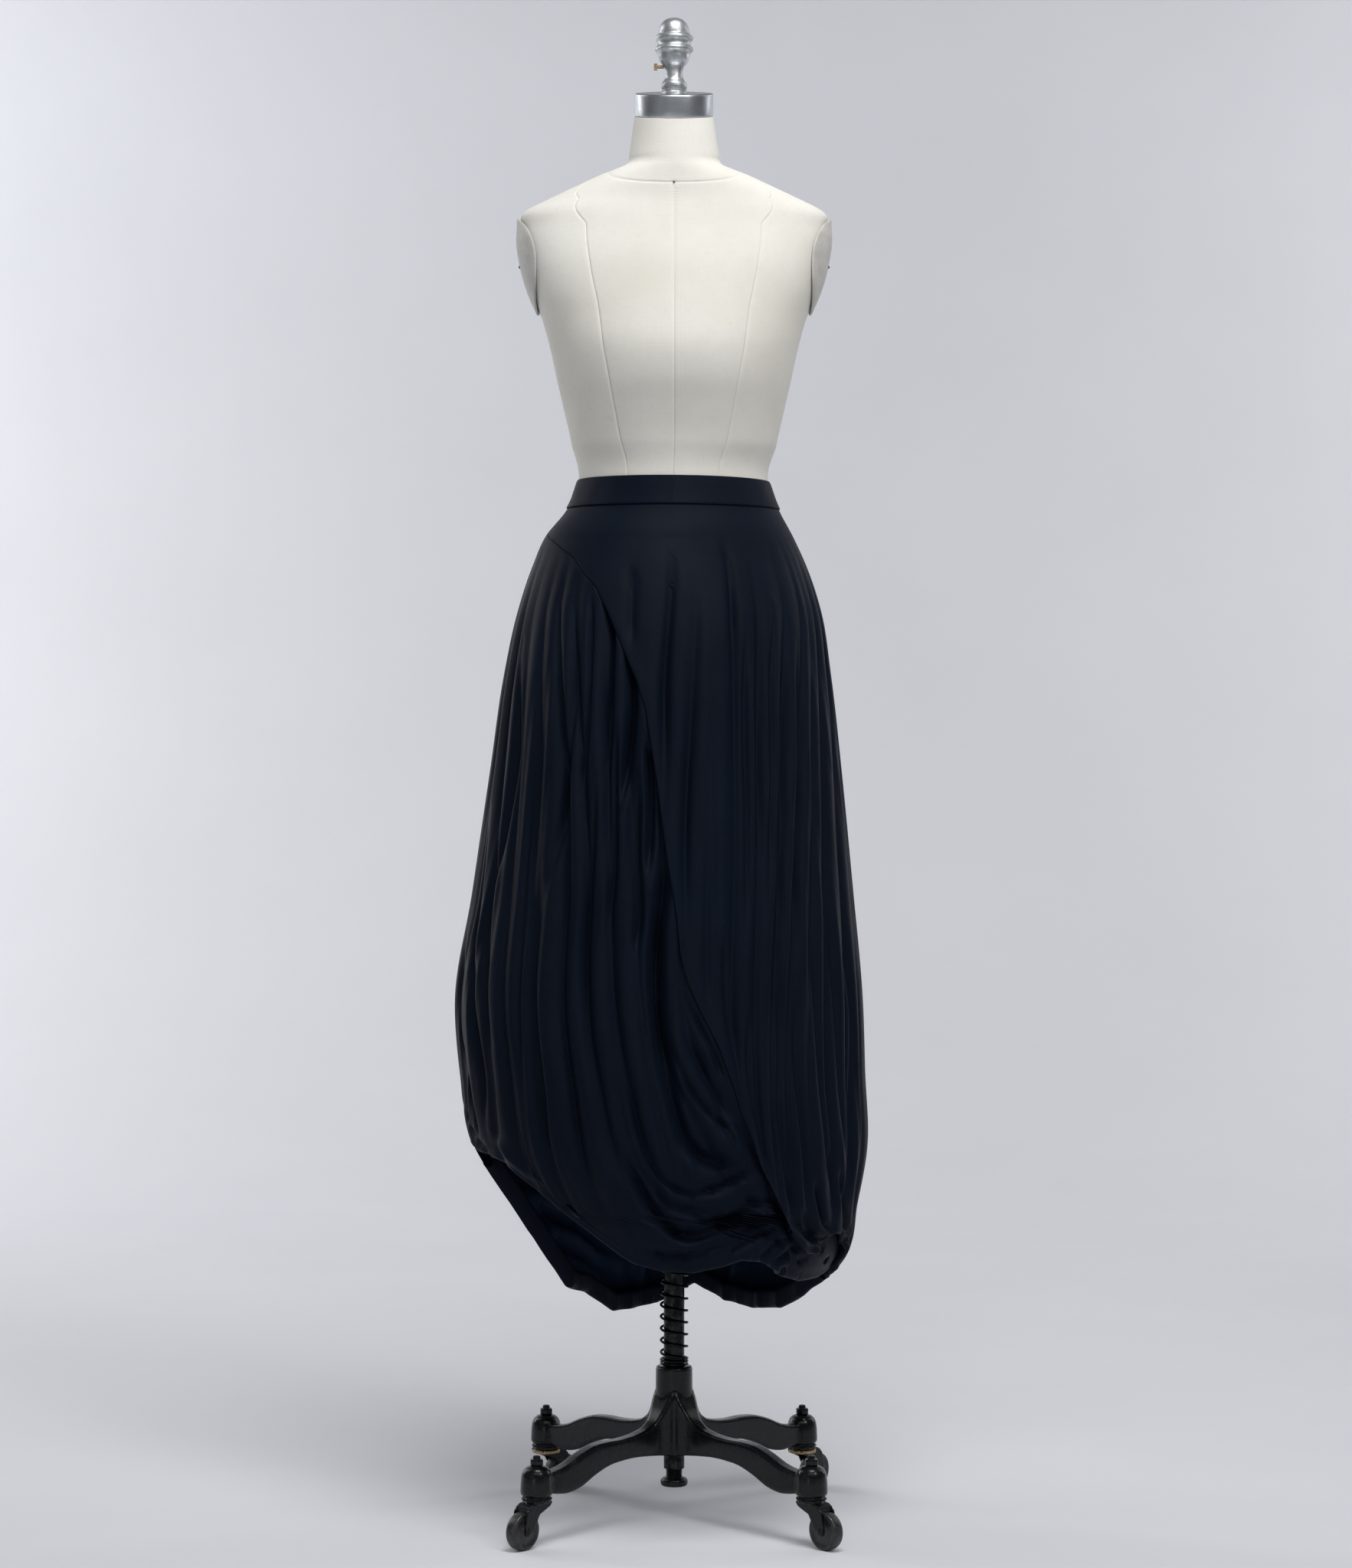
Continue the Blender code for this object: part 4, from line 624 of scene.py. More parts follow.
def brushed_material():
    """Aluminium brushed round the cap, with dull patches and scuffs."""
    finish = Finish("aluminium")
    inputs = {"Vector": finish.flat, "Scale": (1.0, 60.0, 1.0)}
    lines = finish.noise(finish.add("ShaderNodeMapping", "Vector", inputs), 30.0, 6.0, 0.7)
    patch = finish.ramp(finish.noise(finish.solid, 55.0, 5.0), (0.4, 0.0), (0.7, 0.6))
    finish.set(
        Base_Color=finish.mix(patch, (0.50, 0.52, 0.55), (0.36, 0.38, 0.41)), Metallic=1.0,
        Roughness=finish.spread(lines, 0.25, 0.75, 0.24, 0.46), Normal=finish.bump(lines, 0.00012, 0.5))
    return finish.material


def zinc_material():
    """Cast metal in silver paint, worn and pitted."""
    finish = Finish("zinc")
    worn = finish.noise(finish.solid, 90.0, 7.0, 0.65)
    pits = finish.noise(finish.solid, 260.0, 5.0)
    finish.set(
        Base_Color=finish.ramp(worn, (0.35, (0.30, 0.32, 0.33)), (0.55, (0.52, 0.54, 0.55)),
                               (0.7, (0.66, 0.68, 0.69))),
        Metallic=0.85, Roughness=finish.spread(worn, 0.3, 0.7, 0.52, 0.30),
        Normal=finish.bump(pits, 0.0004, 0.35))
    return finish.material


def enamel_material():
    """Glossy black enamel over cast iron: soft casting texture, dull scuffs and chipped paint."""
    finish = Finish("enamel")
    scuff = finish.noise(finish.solid, 70.0, 8.0, 0.7)
    chip = finish.ramp(finish.noise(finish.solid, 240.0, 6.0, 0.6), (0.72, 0.0), (0.76, 0.6))
    base = finish.ramp(scuff, (0.50, (0.0035, 0.0040, 0.0050)), (0.80, (0.0120, 0.0125, 0.0130)))
    cast = finish.bump(finish.noise(finish.solid, 120.0, 3.0), 0.0006, 0.10)
    finish.set(
        Base_Color=finish.mix(chip, base, (0.10, 0.098, 0.092)),
        Roughness=finish.spread(scuff, 0.35, 0.72, 0.20, 0.34), Specular_IOR_Level=0.22,
        Coat_Weight=0.12, Coat_Roughness=0.12, Normal=finish.bump(chip, 0.0001, 0.6, cast))
    return finish.material


def steel_material():
    """Blackened steel with brighter worn streaks."""
    finish = Finish("steel")
    stain = finish.noise(finish.solid, 130.0, 6.0)
    finish.set(
        Base_Color=finish.ramp(stain, (0.40, (0.008, 0.009, 0.010)), (0.70, (0.032, 0.033, 0.035))),
        Metallic=1.0, Roughness=finish.spread(stain, 0.3, 0.7, 0.34, 0.18))
    return finish.material


def brass_material():
    """Tarnished brass."""
    finish = Finish("brass")
    stain = finish.noise(finish.solid, 400.0, 5.0)
    finish.set(
        Base_Color=finish.ramp(stain, (0.35, (0.24, 0.16, 0.08)), (0.65, (0.50, 0.38, 0.22))),
        Metallic=1.0, Roughness=finish.spread(stain, 0.3, 0.7, 0.55, 0.3))
    return finish.material


def wheel_material():
    """Hard black tread, dusty where it rolls."""
    finish = Finish("wheel")
    dust = finish.noise(finish.solid, 150.0, 7.0, 0.7)
    finish.set(
        Base_Color=finish.ramp(dust, (0.45, (0.010, 0.010, 0.011)), (0.8, (0.055, 0.054, 0.052))),
        Roughness=finish.spread(dust, 0.35, 0.7, 0.26, 0.55), Normal=finish.bump(dust, 0.0002, 0.3))
    return finish.material


def backdrop_material():
    """Pale cool grey seamless paper."""
    finish = Finish("backdrop")
    mottle = finish.noise(finish.solid, 2.0, 3.0)
    finish.set(
        Base_Color=finish.ramp(mottle, (0.3, (0.69, 0.70, 0.735)), (0.7, (0.71, 0.72, 0.755))),
        Roughness=0.9, Specular_IOR_Level=0.1)
    return finish.material


# Curves and steps
def curve_through(places, values, at):
    """Values read between a table's rows on a smooth curve that passes through every row."""
    places = np.asarray(places, float)
    values = np.asarray(values, float)
    at = np.clip(at, places[0], places[-1])
    slopes = np.gradient(values, places)
    i = np.clip(np.searchsorted(places, at) - 1, 0, len(places) - 2)
    step = places[i + 1] - places[i]
    t = (at - places[i]) / step
    start = values[i] * (1 + 2 * t) * (1 - t) ** 2 + slopes[i] * step * t * (1 - t) ** 2
    end = values[i + 1] * t * t * (3 - 2 * t) + slopes[i + 1] * step * t * t * (t - 1)
    return start + end


def table_curve(table, column, at):
    """A column of a table, read on a smooth curve; the table's first column is the place."""
    return curve_through([row[0] for row in table], [row[column] for row in table], at)


def table_line(table, at):
    """The second column of a table, read on straight lines between its rows."""
    return np.interp(at, [row[0] for row in table], [row[1] for row in table])


def ease(value):
    """0 below 0, 1 above 1 and a soft step between."""
    value = np.clip(value, 0.0, 1.0)
    return value * value * (3.0 - 2.0 * value)


def above(height, fade):
    """0 up to the fade's height and 1 from its run above it."""
    return ease((height - fade[0]) / fade[1])


def below(height, fade):
    """0 down to the fade's height and 1 from its run below it."""
    return ease((fade[0] - height) / fade[1])


def slow_wave(angle, height, seed):
    """Smooth uneven variation between -1 and 1, the same each run."""
    total = np.zeros_like(np.asarray(angle, float) + height)
    for k in range(1, 5):
        turn = 0.113 * k * 1.37 * angle + height * (9.0 + 5.3 * k) * math.sin(seed * 3.7 + k) + seed * 2.1 * k
        total += np.sin(turn) / k
    return total / 1.7


# Skirt surface
def skirt_reach(height):
    """Reach to the left, right, front and back."""
    return [table_curve(SKIRT_SECTIONS, column, height) for column in range(1, 5)]


def skirt_points(angle, height, raised):
    """Points on the skirt's outline section, moved out along its normal by raised."""
    left, right, front, back = skirt_reach(height)
    turn = np.radians(angle)
    half_width, half_depth = (left + right) / 2, (front + back) / 2
    x = (right - left) / 2 + half_width * np.sin(turn)
    y = (back - front) / 2 - half_depth * np.cos(turn)
    normal_x, normal_y = np.sin(turn) / half_width, -np.cos(turn) / half_depth
    length = np.hypot(normal_x, normal_y)
    x = x + raised * normal_x / length + POST_X
    y = y + raised * normal_y / length + POST_Y
    return np.stack([x, y, height + np.zeros_like(x)], axis=-1)


def trough_angles(troughs, height):
    """The angle of every trough at each height, as an array of troughs by points."""
    height = np.asarray(height, float)
    return np.array([curve_through(TROUGH_HEIGHTS, row[:4], height) for row in troughs])


def back_trough_table():
    """Troughs of the hidden side: uneven spacing, drift and depth from slow waves."""
    rows = []
    for i in range(-1, BACK_TROUGHS + 1):
        middle = 90.0 + (i + 0.5) * 180.0 / BACK_TROUGHS + 1.8 * math.sin(2.4 * i)
        drift = 2.6 * math.sin(1.7 * i + 0.6)
        inside = 0 <= i < BACK_TROUGHS
        depth = BACK_DEPTH * (0.8 + 0.35 * math.sin(3.1 * i + 1.0)) if inside else 0.0
        rows.append((middle - drift, middle - 0.4 * drift, middle, middle + 0.5 * drift, depth))
    return tuple(rows)


def fold_depth(troughs, angle, height):
    """How far the folds press the cloth in: round crests between narrow troughs."""
    lines = trough_angles(troughs, height)
    depth = np.zeros_like(angle + height)
    for i in range(1, len(troughs) - 1):
        before = (lines[i] - lines[i - 1]) / 2
        after = (lines[i + 1] - lines[i]) / 2
        side = angle - lines[i]
        share = np.where(side < 0, -side / before, side / after)
        share = np.sqrt(share * share + 0.006)
        depth += troughs[i][4] * np.clip(1.0 - share, 0.0, 1.0) ** FOLD_SHARPNESS
    return depth * below(height, FOLD_FADE)


def crease_depth(creases, angle, height):
    """Depth of creases that follow their own paths over the cloth, fading out at both ends."""
    depth = np.zeros_like(angle + height)
    for points, deep, half_width in creases:
        path = np.array(points, float)
        places = np.arange(len(path))
        fine = np.linspace(0, len(path) - 1, 6 * len(path))
        path = np.stack([curve_through(places, path[:, 0], fine), curve_through(places, path[:, 1], fine)], 1)
        reach = np.full_like(depth, 1e9)
        along = np.zeros_like(depth)
        for k in range(len(path) - 1):
            (a0, h0), (a1, h1) = path[k], path[k + 1]
            run = (math.radians(a1 - a0) * CREASE_RADIUS, h1 - h0)
            here = (np.radians(angle - a0) * CREASE_RADIUS, height - h0)
            t = np.clip((here[0] * run[0] + here[1] * run[1]) / (run[0] ** 2 + run[1] ** 2), 0, 1)
            away = np.hypot(here[0] - t * run[0], here[1] - t * run[1])
            nearer = away < reach
            along = np.where(nearer, (k + t) / (len(path) - 1), along)
            reach = np.minimum(reach, away)
        fade = np.clip(np.sin(np.pi * np.clip(along, 0.03, 0.97)) * 1.6, 0.0, 1.0)
        depth += deep * fade * np.exp(-((reach / half_width) ** 1.7))
    return CREASE_GAIN * depth


def wrap_edge_angle(height):
    """Where the wrap panel's free edge runs."""
    return table_line(WRAP_EDGE, height)


def fine_folds(angle, height, seed):
    """Small soft ripples between the main folds, growing downwards."""
    wander = angle + 1.8 * slow_wave(angle * 0.4, height * 0.5, seed)
    ripple = 0.6 * np.sin(wander * 0.93 + seed) + 0.4 * np.sin(wander * 1.71 + 2.0 * seed)
    uneven = 0.5 + 0.5 * slow_wave(angle, height, seed + 1.0)
    return below(height, RIPPLE_FADE) * RIPPLE_DEPTH * ripple * uneven


def flutes(troughs, angle, height, seed):
    """The main folds, wandering a little and deeper or shallower on their way down."""
    away = below(height, FLUTE_FADE) * (1.0 - 0.5 * below(height, FLUTE_CALM))
    wander = 0.9 * away * slow_wave(angle * 0.25, height * 0.55, seed)
    strength = FOLD_GAIN * (0.86 + 0.42 * slow_wave(angle * 0.9, height * 0.6, seed + 3.0))
    return fold_depth(troughs, angle + wander, height) * strength


def wrap_raise(angle, height):
    """The wrap panel: full flutes, flattening to its edge, which lies on the draped panel."""
    from_edge = angle - wrap_edge_angle(height)
    inner = np.maximum(0.25 + 0.75 * ease(from_edge / 8.0), above(height, YOKE_FADE))
    puff = 1.0 - ease((height - table_line(WRAP_HEM, angle)) / HEM_PUFF)
    free = below(height, FREE_EDGE_FADE)
    lip = WRAP_LIP * (1.0 - ease(from_edge / 6.0)) * free
    lip = lip - EDGE_DIP * (1.0 - ease(from_edge / 1.5)) * (1.0 - free)
    folds = flutes(WRAP_TROUGHS, angle, height, WRAP_SEED) * inner * (1.0 - 0.55 * puff)
    folds = folds + crease_depth(WRAP_CREASES, angle, height) * np.maximum(inner, 0.4)
    puffed = PUFF_RISE * puff * ease((84.0 - angle) / 12.0)
    return lip + puffed - folds + fine_folds(angle, height, WRAP_SEED) * inner


def soft_min(a, b, width):
    """The smaller of two surfaces, blended where they come near each other."""
    h = np.clip(0.5 + 0.5 * (b - a) / width, 0.0, 1.0)
    return b + (a - b) * h - width * h * (1.0 - h)


def drape_raise(angle, height):
    """The draped panel: it slips under the wrap panel and its pouch, and is free beside them."""
    edge = wrap_edge_angle(height)
    folds = flutes(DRAPE_TROUGHS, angle, height, DRAPE_SEED) * above(height, DRAPE_CALM)
    cloth = -folds - crease_depth(DRAPE_CREASES, angle, height) + fine_folds(angle, height, DRAPE_SEED)
    over = wrap_raise(np.maximum(angle, edge), height) - CLOTH - UNDER_WRAP
    beside = ease((edge - 0.3 - angle) / (0.9 + 1.9 * below(height, SLIP_FADE)))
    pouch = below(height, POUCH_FADE) * ease((angle - 20.0) / 8.0)
    inside_pouch = -POUCH_INSET * pouch + CLEAR * (1.0 - pouch)
    over = np.where(angle > edge - 4.0, np.minimum(over, inside_pouch), over)
    return soft_min(cloth, over + CLEAR * beside, SLIP_BLEND)


BACK_FOLDS = back_trough_table()


def back_raise(angle, height):
    """The back panels: flutes and ripples, calmer towards the hem."""
    above_hem = ease((height - table_line(BACK_HEM, angle)) / BACK_HEM_CALM)
    folds = flutes(BACK_FOLDS, angle, height, BACK_SEED) * (0.30 + 0.70 * above_hem)
    ripples = fine_folds(angle, height, BACK_SEED) * (0.25 + 0.75 * above_hem)
    return -folds - crease_depth(BACK_CREASES, angle, height) + ripples


def lapped(raised, seam, inward, neighbour, neighbour_angle):
    """A panel's raise that slips under its neighbour's edge where the two are sewn together.

    inward is 1 where the panel's angles are greater than the seam's, and -1 where they are smaller.
    """
    def raise_at(angle, height):
        share = 1.0 - ease((angle - seam) * inward / SEAM_EASE)
        under = neighbour(np.full_like(angle, neighbour_angle), height) - CLOTH - UNDER_WRAP
        return raised(angle, height) * (1.0 - share) + under * share
    return raise_at


# Meshes
def grid_mesh(name, points, closed=False, caps=False):
    """A sheet through points[row][column], with UVs in metres along each row from its middle."""
    rows, columns = points.shape[:2]
    wide = columns if closed else columns - 1
    row, column = [grid.ravel() for grid in np.meshgrid(np.arange(rows - 1), np.arange(wide), indexing="ij")]
    after = (column + 1) % columns
    low, high = (row + 1) * columns, row * columns
    faces = np.stack([low + column, low + after, high + after, high + column], axis=1).tolist()
    steps = np.linalg.norm(np.roll(points, -1, axis=1) - points, axis=-1)
    u = np.concatenate([np.zeros((rows, 1)), np.cumsum(steps, axis=1)], axis=1)
    u = u - u[:, columns // 2, None]
    down = np.linalg.norm(np.diff(points, axis=0), axis=-1).mean(axis=1)
    v = -np.concatenate([[0.0], np.cumsum(down)])
    corners = [(row + 1, column), (row + 1, column + 1), (row, column + 1), (row, column)]
    flat = np.stack([np.stack([u[r, c], v[r]], axis=1) for r, c in corners], axis=1).reshape(-1, 2)
    if caps:
        faces.append(list(range(columns)))
        faces.append([(rows - 1) * columns + i for i in reversed(range(columns))])
        flat = np.concatenate([flat, points[0, :, :2], points[-1, ::-1, :2]])
    mesh = bpy.data.meshes.new(name)
    mesh.from_pydata(points.reshape(-1, 3).tolist(), [], faces)
    mesh.uv_layers.new(name="UVMap").data.foreach_set("uv", flat.ravel())
    if caps:
        face_outwards(mesh)
    mesh.shade_smooth()
    if caps:
        mesh.set_sharp_from_angle(angle=math.radians(38.0))
    return mesh


def face_outwards(mesh):
    """Turns a closed mesh's faces outwards."""
    shape = bmesh.new()
    shape.from_mesh(mesh)
    bmesh.ops.recalc_face_normals(shape, faces=shape.faces)
    shape.to_mesh(mesh)
    shape.free()


def add_piece(name, mesh, material, body, replaces=()):
    """Adds a piece that rides on a body and hides the solids it replaces."""
    piece = bpy.data.objects.new(name, mesh)
    mesh.materials.clear()
    mesh.materials.append(material)
    bpy.context.scene.collection.objects.link(piece)
    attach(piece, body)
    if replaces:
        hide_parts(*replaces)
    return piece


def hem_roll(points, outward, roll, steps=8):
    """Rows that turn a lowest row under and a little way up the inside."""
    radius, climb = roll
    edge = points[-1]
    inward = -(outward / np.linalg.norm(outward, axis=-1, keepdims=True))
    rows = []
    for k in range(1, steps + 1):
        turn = math.pi * k / steps
        shift = inward * radius * (1.0 - math.cos(turn))
        drop = np.array((0.0, 0.0, -radius * math.sin(turn)))
        rows.append(edge + shift + drop)
    for k in range(1, 4):
        rows.append(rows[steps - 1] + np.array((0.0, 0.0, climb * k / 3)))
    return np.concatenate([points, np.array(rows)])


def panel_points(top, hem, first_at, last_at, raised, grid, roll):
    """A panel's rows of points, between its side edges and from its top to its rolled hem.

    The columns keep their share between the side edges. grid is (rows, columns).
    """
    rows, columns = grid
    share = np.linspace(0.0, 1.0, columns)
    # the lowest row settles on the hem, whose height depends on the angle
    low = np.full(columns, 0.4)
    for _ in range(30):
        angles = first_at(low) + (last_at(low) - first_at(low)) * share
        low = 0.5 * low + 0.5 * (table_line(hem, angles) + roll[0])
    lines = []
    for k in range(rows + 1):
        heights = top + (low - top) * (k / rows)
        line = first_at(heights) + (last_at(heights) - first_at(heights)) * share
        lines.append(skirt_points(line, heights, raised(line, heights)))
    outward = skirt_points(line, low, 0.01) - skirt_points(line, low, 0.0)
    return hem_roll(np.array(lines), outward, roll)


def straight_edge(angle):
    """A panel's side edge that runs down at one angle."""
    return lambda height: np.full_like(height, angle)


def drape_last_edge(height):
    """The drape panel's hidden edge, tucked under the wrap panel and round its pouch."""
    under = wrap_edge_angle(height) + TUCK * below(height, TUCK_FADE)
    return np.where(height < DRAPE_END_TOP, np.maximum(under, table_line(DRAPE_END, height)), under)


def cloth_piece(name, points, material, node, closed=False, painted_lit_inside=None):
    """A thin shell on a CAD wall's outer side, replacing that wall."""
    piece = add_piece(name, grid_mesh(name, points, closed), material, "form", (node,))
    wall = piece.modifiers.new("wall", "SOLIDIFY")
    wall.thickness = CLOTH
    wall.offset = -1.0
    # the inner face takes the paler copy of the jersey: painted light on the shaded inside of the cloth
    if painted_lit_inside is not None:
        piece.data.materials.append(painted_lit_inside)
        wall.material_offset = 1
    bpy.context.view_layer.update()
    evaluated = piece.evaluated_get(bpy.context.evaluated_depsgraph_get())
    solid = bpy.data.meshes.new_from_object(evaluated)
    piece.modifiers.clear()
    piece.data = solid
    return piece


def build_skirt(jersey, painted_lit_inside):
    """The four panels, lapped at their seams, and the band."""
    top = WAIST_SEAM + UNDER_BAND_TUCK
    half_gap = math.degrees(SEAM_GAP / 2 / float(skirt_reach(SEAM_GAP_HEIGHT)[0]))
    right_raise = lapped(back_raise, 90.0, 1.0, wrap_raise, 90.0)
    left_raise = lapped(lapped(back_raise, 270.0, -1.0, drape_raise, -90.0), 180.0, 1.0, back_raise, 180.0)
    panels = {
        "wrap_panel": panel_points(
            top, WRAP_HEM, wrap_edge_angle, straight_edge(90.0 - half_gap), wrap_raise, WRAP_GRID, WRAP_ROLL),
        "drape_panel": panel_points(
            DRAPE_TOP, DRAPE_HEM, straight_edge(-90.0 + half_gap), drape_last_edge, drape_raise,
            DRAPE_GRID, HEM_ROLL),
        "back_right_panel": panel_points(
            top, BACK_HEM, straight_edge(90.0 - SEAM_LAP), straight_edge(180.0 - half_gap), right_raise,
            BACK_GRID, HEM_ROLL),
        "back_left_panel": panel_points(
            top, BACK_HEM, straight_edge(180.0 - SEAM_LAP), straight_edge(270.0 + SEAM_LAP), left_raise,
            BACK_GRID, HEM_ROLL),
    }
    for name, points in panels.items():
        piece = cloth_piece("fine_" + name, points, jersey, name, painted_lit_inside=painted_lit_inside)
    build_waistband(jersey)


def build_waistband(jersey):
    """The band: narrower at its top, level at the sides and a little higher in front."""
    angle = np.linspace(0.0, 360.0, 200, endpoint=False)
    front, side = np.cos(np.radians(angle)), np.sin(np.radians(angle))
    top = WAIST_TOP + BAND_TOP[0] + BAND_TOP[1] * front + BAND_TOP[2] * side
    bottom = WAIST_SEAM + BAND_BOTTOM[0] + BAND_BOTTOM[1] * front + BAND_BOTTOM[2] * side
    rows = []
    for share, lift, raised in BAND_PROFILE:
        ripple = BAND_RIPPLE * np.sin(angle * 0.31 + 1.0) * math.sin(math.pi * share)
        rows.append(skirt_points(angle, top + (bottom - top) * share + lift, raised + ripple))
    band = cloth_piece("fine_waistband", np.array(rows), jersey, "waistband", closed=True)


# Dress form
def form_values(height):
    """Half width, reach to the front and back, and tilt."""
    return [table_curve(FORM_SECTIONS, column, height) for column in range(1, 5)]


def form_points(angle, height):
    """Points on the form's section, a little squared at the bust and tilted towards the neck."""
    half, front, back, tilt = form_values(height)
    power = 2.0 / (2.0 + SQUARENESS * above(height, SQUARE_FADE) * (1.0 - above(height, SQUARE_TOP)))
    sine, cosine = np.sin(np.radians(angle)), np.cos(np.radians(angle))
    x = half * np.sign(sine) * np.abs(sine) ** power
    y = -np.where(cosine > 0, front, back) * np.sign(cosine) * np.abs(cosine) ** power
    return np.stack([x + POST_X, y + POST_Y, height + y * np.tan(np.radians(tilt))], axis=-1)


def torso_points(angle, height, pressed):
    """The canvas surface: nipped in under the waistband and pressed in at its seams."""
    at_waist = above(height, WAIST_NIP) * (1.0 - above(height, WAIST_NIP_TOP))
    under_band = UNDER_BAND - BAND_FOOT_DEPTH * (1.0 - above(height, BAND_FOOT))
    points = form_points(angle, height)
    points = points + (skirt_points(angle, height, under_band) - points) * at_waist[..., None]
    inward = np.stack([np.sin(np.radians(angle)), -np.cos(np.radians(angle)), np.zeros_like(angle)], axis=-1)
    return points - inward * pressed[..., None]


def build_torso(canvas):
    """Canvas over the form, with its panel seams and the seam round the foot of the neck."""
    rough = np.concatenate([np.linspace(*run) for run in TORSO_ROWS])
    beside_seam = NECK_SEAM + SEAM_STEPS
    rows = np.unique(np.concatenate([rough[np.abs(rough - NECK_SEAM) > 0.004], beside_seam]))[::-1]
    gathered = np.unique(np.concatenate([np.linspace(0.0, 1.0, TORSO_COLUMNS), BESIDE_SEAM]))[:-1]
    lines = []
    for height in rows:
        front, back = [float(table_line(path, height)) for path in (FRONT_SEAM, BACK_SEAM)]
        anchors = [-180.0, -back, -90.0, -front, 0.0, front, 90.0, back, 180.0]
        lines.append(np.concatenate([a + (b - a) * gathered for a, b in zip(anchors, anchors[1:])]))
    angle = np.array(lines)
    share = np.tile(np.minimum(gathered, 1.0 - gathered), 8)
    height = np.repeat(rows[:, None], angle.shape[1], axis=1)
    pucker = PUCKER * np.sin(height * 900.0 + 3.0 * np.sin(height * 61.0))
    pressed = SEAM_PRESS * np.exp(-((share / 0.010) ** 2)) + pucker * np.exp(-((share / 0.05) ** 2))
    # the neck is plain, but for the seam down its back
    pressed = pressed * np.where(np.abs(angle) < 170.0, 1.0 - above(height, NECK_PLAIN), 1.0)
    from_neck = np.abs(height - NECK_SEAM)
    pressed = pressed + SEAM_PRESS * np.exp(-((from_neck / NECK_SEAM_WIDTH) ** 2))
    cosine = np.cos(np.radians(angle))
    dip = NECK_SEAM_DIP[0] * cosine + NECK_SEAM_DIP[1] * cosine ** 2 + NECK_SEAM_DIP[2]
    bent = height + dip * (1.0 - ease(from_neck / NECK_SEAM_REACH))
    points = torso_points(angle, bent, pressed)
    floor = points[-1:].copy()
    floor[..., 2] = TORSO_FLOOR
    middle = np.array([[[POST_X, POST_Y, TORSO_FLOOR]]])
    rings = [points, middle + (floor - middle) * 0.985, middle + (floor - middle) * 0.4]
    mesh = grid_mesh("torso", np.concatenate(rings), True, True)
    add_piece("fine_torso", mesh, canvas, "form", ("torso",))


def form_side(y, height):
    """How far out the form's side lies at a depth and a height."""
    half, front, back, _ = form_values(height)
    share = np.clip(np.abs(y) / np.where(y < 0, front, back), 0.0, 0.98)
    power = 2.0 + SQUARENESS
    return half * (1.0 - share ** power) ** (1.0 / power)


def build_arm_plates(plate, steel):
    """Domed oval plates over the armholes, each with a small pin at its middle."""
    turn = np.linspace(0.0, math.tau, 72, endpoint=False)
    outer = [(share, 0.0) for share in PLATE_OUTER]
    inner = [(share, -PLATE_WALL) for share in PLATE_INNER]
    for name, side in (("left", -1.0), ("right", 1.0)):
        rings = []
        for share, lift in [*outer, *PLATE_RIM, *inner]:
            y = PLATE_PLACE[0] + PLATE_HALF[0] * share * np.cos(turn)
            z = PLATE_PLACE[1] + PLATE_HALF[1] * share * np.sin(turn)
            dome = PLATE_DOME * (1.0 - share ** 2)
            x = side * (form_side(y, z) + PLATE_LIFT + PLATE_WALL + lift + dome)
            rings.append(np.stack([x + POST_X, y + POST_Y, z], axis=-1))
        mesh = grid_mesh("plate", np.array(rings), True, True)
        add_piece("fine_arm_plate_" + name, mesh, plate, "form", ("arm_plate_" + name,))
        pin = turned_mesh("pin", PLATE_PIN, 16)
        out = side * (float(form_side(*PLATE_PLACE)) + PLATE_LIFT + PLATE_WALL + PLATE_DOME)
        pin.transform(Matrix.Translation((POST_X + out, POST_Y + PLATE_PLACE[0], PLATE_PLACE[1]))
                      @ Matrix.Rotation(side * math.pi / 2, 4, "Y"))
        add_piece("plate_pin_" + name, pin, steel, "form")


def ring(place, radius, turn, height):
    """Level rings of points round a place; the radius may change on the way round."""
    x, y = place
    return np.stack([x + radius * np.cos(turn), y + radius * np.sin(turn), height + 0.0 * turn], axis=-1)


def turned_mesh(name, profile, sides=64, smooth=0, place=(0.0, 0.0, 0.0)):
    """A mesh turned about Z from (radius, height) points, from the top down."""
    profile = np.array(profile, float)
    if smooth:
        along = np.concatenate([[0.0], np.cumsum(np.linalg.norm(np.diff(profile, axis=0), axis=1))])
        fine = np.linspace(0.0, along[-1], smooth)
        profile = np.stack([curve_through(along, profile[:, 0], fine),
                            curve_through(along, profile[:, 1], fine)], axis=1)
    profile[:, 0] = np.maximum(profile[:, 0], 0.0001)
    turn = np.linspace(0.0, math.tau, sides, endpoint=False)
    radius, height = profile[:, :1], profile[:, 1:]
    return grid_mesh(name, ring((0.0, 0.0), radius, turn, height) + np.array(place), True, True)


